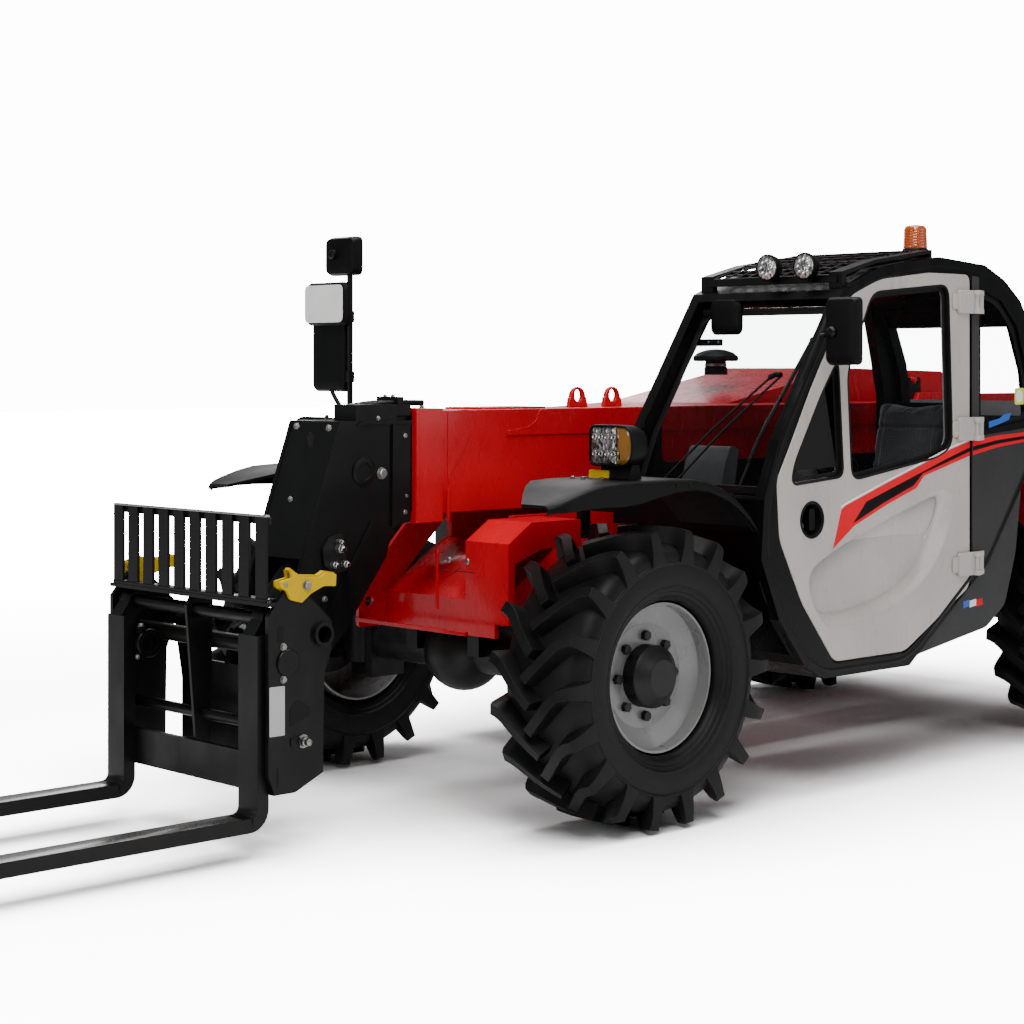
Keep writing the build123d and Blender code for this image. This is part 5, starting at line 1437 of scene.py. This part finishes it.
def make_inside_mirror():
    inner = Form(BLACK_PLASTIC, MIRROR, ZINC)
    shell_box(inner, -930, -900, 350, 500, 1660, 1798, 30)
    inner.prism(box_outline(362, 488, 1672, 1786, 22), -932.5, -930.2, 1, "x")
    bent(inner, [(-915, 425, 1730), (-930, 330, 1735), (-940, 297, 1740)], 8)
    bent(inner, [(-930, 345, 1735), (-900, 318, 1690), (-890, 312, 1640)], 6)
    inner.prism(box_outline(305, 430, 1618, 1645, 6), -893, -885, 0, "x")
    for y in (365, 415):
        inner.turned([(0, 6), (3, 5)], (-885, y, 1632), X, 2, 14)
    inner.done("inside_mirror", "chassis", 0.8)


make_wiper()
make_inside_mirror()


# ---- Controls: column, wheel with knob, instrument pod, lever, pedals ----
COLUMN_Y = 610
TILT = Vector((0.9, 0, 0.42))  # across the steering column, seen from the side
COLUMN = [  # x, z and half width, from the floor up
    (-885, 480, 46), (-930, 600, 46), (-1020, 790, 44), (-1100, 970, 40), (-1150, 1080, 52),
    (-1172, 1135, 50), (-1185, 1165, 30),
]


def oval(middle, across, along, half, depth, count=12):
    return [middle + across * half * math.cos(t) + along * depth * math.sin(t) for t in turns(count)]


def make_steering_wheel():
    wheel = Form(BLACK_PLASTIC, GREY_PLASTIC, LINER)
    hub, axis = Vector((-1200, COLUMN_Y, 1180)), Vector((-0.42, 0, 0.9)).normalized()
    side, up = frame_for(axis)

    def spoke(turn):
        return side * math.cos(turn) + up * math.sin(turn)

    wheel.rings(
        [oval(hub + axis * 20 + spoke(t) * 161, spoke(t), axis, 13.5, 13.5) for t in turns(64)], closed=True
    )
    for turn in (math.radians(90), math.radians(210), math.radians(330)):
        out = spoke(turn)
        stations = ((20, 26, 4), (70, 18, 8), (120, 14, 14), (158, 18, 20))
        rows = [(hub + out * reach + axis * rise, half) for reach, half, rise in stations]
        wheel.rings([oval(middle, axis.cross(out), axis, half, 7) for middle, half in rows])
    wheel.turned([(-18, 24), (-10, 40), (8, 44), (14, 40), (17, 24), (18, 1)], hub, axis)
    knob = hub + axis * 30 + spoke(2.4) * 158
    wheel.turned([(0, 8), (14, 8), (18, 20), (34, 24), (48, 18), (53, 1)], knob, axis, 0, 24)
    wheel.rings([oval(Vector((x, COLUMN_Y, z)), Y, TILT, half, half * 0.8, 20) for x, z, half in COLUMN], 2)
    return wheel.done("steering_wheel", "chassis", 0, 40)


def make_pod():
    pod = Form(LINER, BLACK_PLASTIC, PLATE, SEAL)
    case = [(-722, 992), (-642, 1008), (-690, 1190), (-720, 1250), (-768, 1240), (-742, 1100)]
    pod.prism(rounded(case, 18, 5), 422, 618)
    pod.prism(rounded([(-770, 1236), (-775, 1228), (-752, 1105), (-746, 1108)], 3, 3), 436, 604, 1)
    for y in (480, 560):
        dial = [(0, 30), (4, 30), (5, 26), (3, 25), (3, 1)]
        pod.turned(dial, (-768, y, 1185), (-0.98, 0, 0.15), 2, 28)
    for y in (452, 488, 524, 560):
        pod.block((-766, y, 1122), (-752, y + 24, 1140), 3)
    pod.done("instrument_pod", "chassis", 4, 30, segments=3)


def make_lever():
    """Console beside the seat, gaiter, lever with its grip, and the two pedals."""
    lever = Form(BLACK_PLASTIC, CHROME, LINER, SEAL)
    lever.block((-1720, 325, 795), (-1330, 385, 985), 2)
    base = Vector((-1380, 355, 985))
    gaiter = [(0, 38), (10, 36), (22, 26), (30, 18), (44, 13), (56, 10)]
    lever.turned(gaiter, base, (0.15, 0, 1), 3, 24)
    lever.tube([base + Vector((6, 0, 40)), base + Vector((16, 0, 110))], 7.5, 1)
    grip = [(0, 12), (12, 19), (45, 21), (75, 24), (98, 20), (106, 8), (107, 1)]
    lever.turned(grip, base + Vector((16, 0, 100)), (0.18, 0, 1), 0, 24)
    pedal = rounded([(-800, 560), (-835, 600), (-828, 606), (-792, 566)], 2, 3)
    for y in (560, 660):
        lever.prism(pedal, y - 35, y + 35, 3)
    lever.done("boom_lever", "chassis", 6, 30, segments=3)


steering_wheel = make_steering_wheel()
make_pod()
make_lever()
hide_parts("controls")


# ---- Seat: pedestal, shell and two sewn pads ----
CLOTH_FRAMES = 20
SWELLING = 0.022  # metres, the furthest that the cloth moves out
VOXEL = 0.006
SEAM_WIDTH = 0.006
SEAM_DEPTH = 0.010
PUFF = 0.004


def swell(mesh):
    """Cloth blown up from inside, each point moved no further than SWELLING."""
    holder = add("swelling", mesh)
    cloth = holder.modifiers.new("cloth", "CLOTH")
    cloth.settings.use_pressure = True
    cloth.settings.uniform_pressure_force = 4
    cloth.settings.effector_weights.gravity = 0
    cloth.settings.quality = 4
    cloth.point_cache.frame_start = 1
    cloth.point_cache.frame_end = CLOTH_FRAMES
    scene = bpy.context.scene
    for frame_number in range(1, CLOTH_FRAMES + 1):
        scene.frame_set(frame_number)
    shown = holder.evaluated_get(bpy.context.evaluated_depsgraph_get()).to_mesh()
    moved = []
    for rest, now in zip(mesh.vertices, shown.vertices):
        step = now.co - rest.co
        moved.append(rest.co + (step * (SWELLING / step.length) if step.length > SWELLING else step))
    holder.modifiers.remove(cloth)
    for vertex, point in zip(mesh.vertices, moved):
        vertex.co = point
    scene.frame_set(1)
    bpy.data.objects.remove(holder)


def pad_block(name, corners):
    """Closed block from eight corners, with round edges and an even mesh."""
    bm = bmesh.new()
    verts = [bm.verts.new(place(*c)) for c in corners]
    for face in ((0, 3, 2, 1), (4, 5, 6, 7), (0, 1, 5, 4), (1, 2, 6, 5), (2, 3, 7, 6), (3, 0, 4, 7)):
        bm.faces.new([verts[i] for i in face])
    bmesh.ops.recalc_face_normals(bm, faces=bm.faces)
    bmesh.ops.bevel(bm, geom=bm.edges[:], offset=0.034, segments=5, profile=0.6, affect="EDGES")
    mesh = bpy.data.meshes.new(name)
    bm.to_mesh(mesh)
    bm.free()
    holder = add(name + "_remesh", mesh)
    remesh = holder.modifiers.new("voxels", "REMESH")
    remesh.mode = "VOXEL"
    remesh.voxel_size = VOXEL
    return evaluated_mesh(holder)


def pad(name, corners, middle, along, out, seams_along, seams_across, replaces=()):
    """Pad from eight corners: blown up, then sewn on its outer face along and across."""
    made = pad_block(name, corners)
    swell(made)
    origin = place(*middle)
    for vertex in made.vertices:
        local = vertex.co - origin
        u, v = local.dot(along), local.dot(Y)
        if local.dot(out) < 0:
            continue
        apart = [v - at / METRE for at in seams_along] + [u - at / METRE for at in seams_across]
        dip = sum(SEAM_DEPTH * math.exp(-((gap / SEAM_WIDTH) ** 2)) for gap in apart)
        vertex.co += out * (PUFF * math.cos(u * 31) * math.cos(v * 17) - dip)
    made.name = name
    made.materials.clear()
    piece = settle(name, made, "chassis", (SEAT,), 0, 180, replaces)
    smooth = piece.modifiers.new("smooth", "SUBSURF")
    smooth.levels = smooth.render_levels = 1


def make_seat():
    cushion = [
        (-1755, 418, 826), (-1352, 418, 826), (-1352, 842, 826), (-1755, 842, 826),
        (-1750, 420, 908), (-1356, 420, 914), (-1356, 840, 914), (-1750, 840, 908),
    ]
    pad("seat_cushion", cushion, (-1550, 630, 880), X, Z, (-130, 130), (120,), ("seat",))
    back = [
        (-1778, 438, 950), (-1712, 438, 950), (-1712, 822, 950), (-1778, 822, 950),
        (-1888, 450, 1388), (-1820, 450, 1402), (-1820, 810, 1402), (-1888, 810, 1388),
    ]
    lean = Vector((-0.108, 0, 0.450)).normalized()
    pad("seat_back", back, (-1800, 630, 1180), lean, Y.cross(lean), (-120, 120), (-60, 110))

    base = Form(BLACK_PLASTIC, BLACK, LINER)
    base.prism(box_outline(-1772, -1335, 404, 856, 40, 5), 801, 822, 0, "z")
    base.prism(rounded([(-1792, 940), (-1905, 1392), (-1895, 1396), (-1782, 942)], 3, 3), 430, 830)
    for fold in range(5):
        rows = []
        for dent, rise in ((0, 0), (12, 10), (12, 38), (0, 48)):
            outline = box_outline(-1700 + dent, -1390 - dent, 470 + dent, 790 - dent, 30, 4)
            rows.append([(x, y, 560 + fold * 48 + rise) for x, y in outline])
        base.rings(rows, 2)
    base.block((-1760, 390, 830), (-1700, 402, 960), 1)
    base.done("seat_base", "chassis", 2)


# ---- Engine side: intake cap ----
def make_intake_cap():
    cap = Form(BLACK_PLASTIC, ZINC)
    base = (-1980, -560, extent("hood")[1].z - 30)
    dome = [
        (0, 52), (30, 52), (36, 48), (60, 46), (60, 96), (68, 102), (82, 100), (100, 78), (112, 40),
        (115, 1),
    ]
    cap.turned(dome, base, Z, 0, 48)
    cap.turned([(38, 49), (50, 49)], base, Z, 1, 40)
    cap.done("intake_cap", "engine_hood", 1)


make_seat()
make_intake_cap()


# ---- Floor and light ----
BACKDROP = 18.0  # brightness of the backdrop to the camera
FLOOR_REACH = 60
FLOOR_LEVEL = -0.001
FADE = 3.2, 11.0  # metres from the middle, where the floor starts to fade and is all backdrop
WHITE_COATS = 6  # white shaders laid over each other on what the camera sees of the floor
LOOK_AT = Vector((0, 0, 0.8))
LIGHTS = {  # place, size, power, colour
    "key": ((4.5, 5.0, 7.5), 3.5, 520, (1.0, 0.99, 0.97)),
    "side": ((-3.5, 7.5, 3.0), 4.0, 110, (0.97, 0.98, 1.0)),
    "front": ((9.0, -1.0, 3.5), 3.5, 150, (1.0, 1.0, 1.0)),
    "top": ((-0.5, 0.0, 8.0), 6.0, 820, (1.0, 1.0, 1.0)),
    "back": ((-5.0, -7.0, 5.0), 4.5, 180, (1.0, 1.0, 1.0)),
}


def floor_finish():
    """Pale floor, which the camera sees as bright white with its shadows, and with painted shadow from
    ambient occlusion under the machine, fading into the backdrop.
    """
    f = Finish("studio_floor")
    seen = f.node("LightPath", {}).outputs["Is Camera Ray"]
    distance = f.node("VectorMath", {0: f.even}, operation="LENGTH").outputs["Value"]
    far = f.ramp(distance, *FADE, 0, BACKDROP)
    f.look(
        color=f.mix(f.noise(40), (0.86, 0.86, 0.86), (0.90, 0.90, 0.90)), rough=0.75, gloss=0.1,
        glow=f.node("Math", {0: far, 1: seen}, operation="MULTIPLY").outputs["Value"], glow_color=(1, 1, 1),
    )
    # Painted shadow: ambient occlusion darkens the white added for the camera under and near the machine.
    nearby = f.node("AmbientOcclusion", {"Distance": 1.3}).outputs["AO"]
    painted_shadow_white = f.ramp(nearby, 0.35, 0.95, 0, 0.95)
    plain = bright = f.shader.outputs["BSDF"]
    for _ in range(WHITE_COATS):
        white = f.node("BsdfDiffuse", {"Color": painted_shadow_white}).outputs["BSDF"]
        bright = f.node("AddShader", {0: bright, 1: white}).outputs["Shader"]
    f.put(f.tree.nodes["Material Output"], {"Surface": f.blend(seen, plain, bright)})
    return f.material


def make_floor():
    mesh = bpy.data.meshes.new("studio_floor")
    corners = [(-1, -1), (1, -1), (1, 1), (-1, 1)]
    mesh.from_pydata([(x * FLOOR_REACH, y * FLOOR_REACH, 0) for x, y in corners], [], [(0, 1, 2, 3)])
    mesh.materials.append(floor_finish())
    floor = add("studio_floor", mesh)
    floor.location.z = FLOOR_LEVEL


def make_light():
    world = bpy.data.worlds.new("studio")
    sky = Graph(world)
    soft = sky.put(sky.tree.nodes["Background"], {"Color": (0.95, 0.97, 1.0), "Strength": 0.24})
    backdrop = sky.node("Background", {"Strength": BACKDROP})
    seen = sky.node("LightPath", {}).outputs["Is Camera Ray"]
    blend = sky.blend(seen, soft.outputs["Background"], backdrop.outputs["Background"])
    sky.put(sky.tree.nodes["World Output"], {"Surface": blend})
    bpy.context.scene.world = world
    for name, (at, size, power, color) in LIGHTS.items():
        data = bpy.data.lights.new(name, "AREA")
        data.size = size
        data.energy = power
        data.color = color
        lamp = add(name, data)
        lamp.location = at
        lamp.rotation_euler = (LOOK_AT - Vector(at)).to_track_quat("-Z", "Y").to_euler()


make_floor()
make_light()
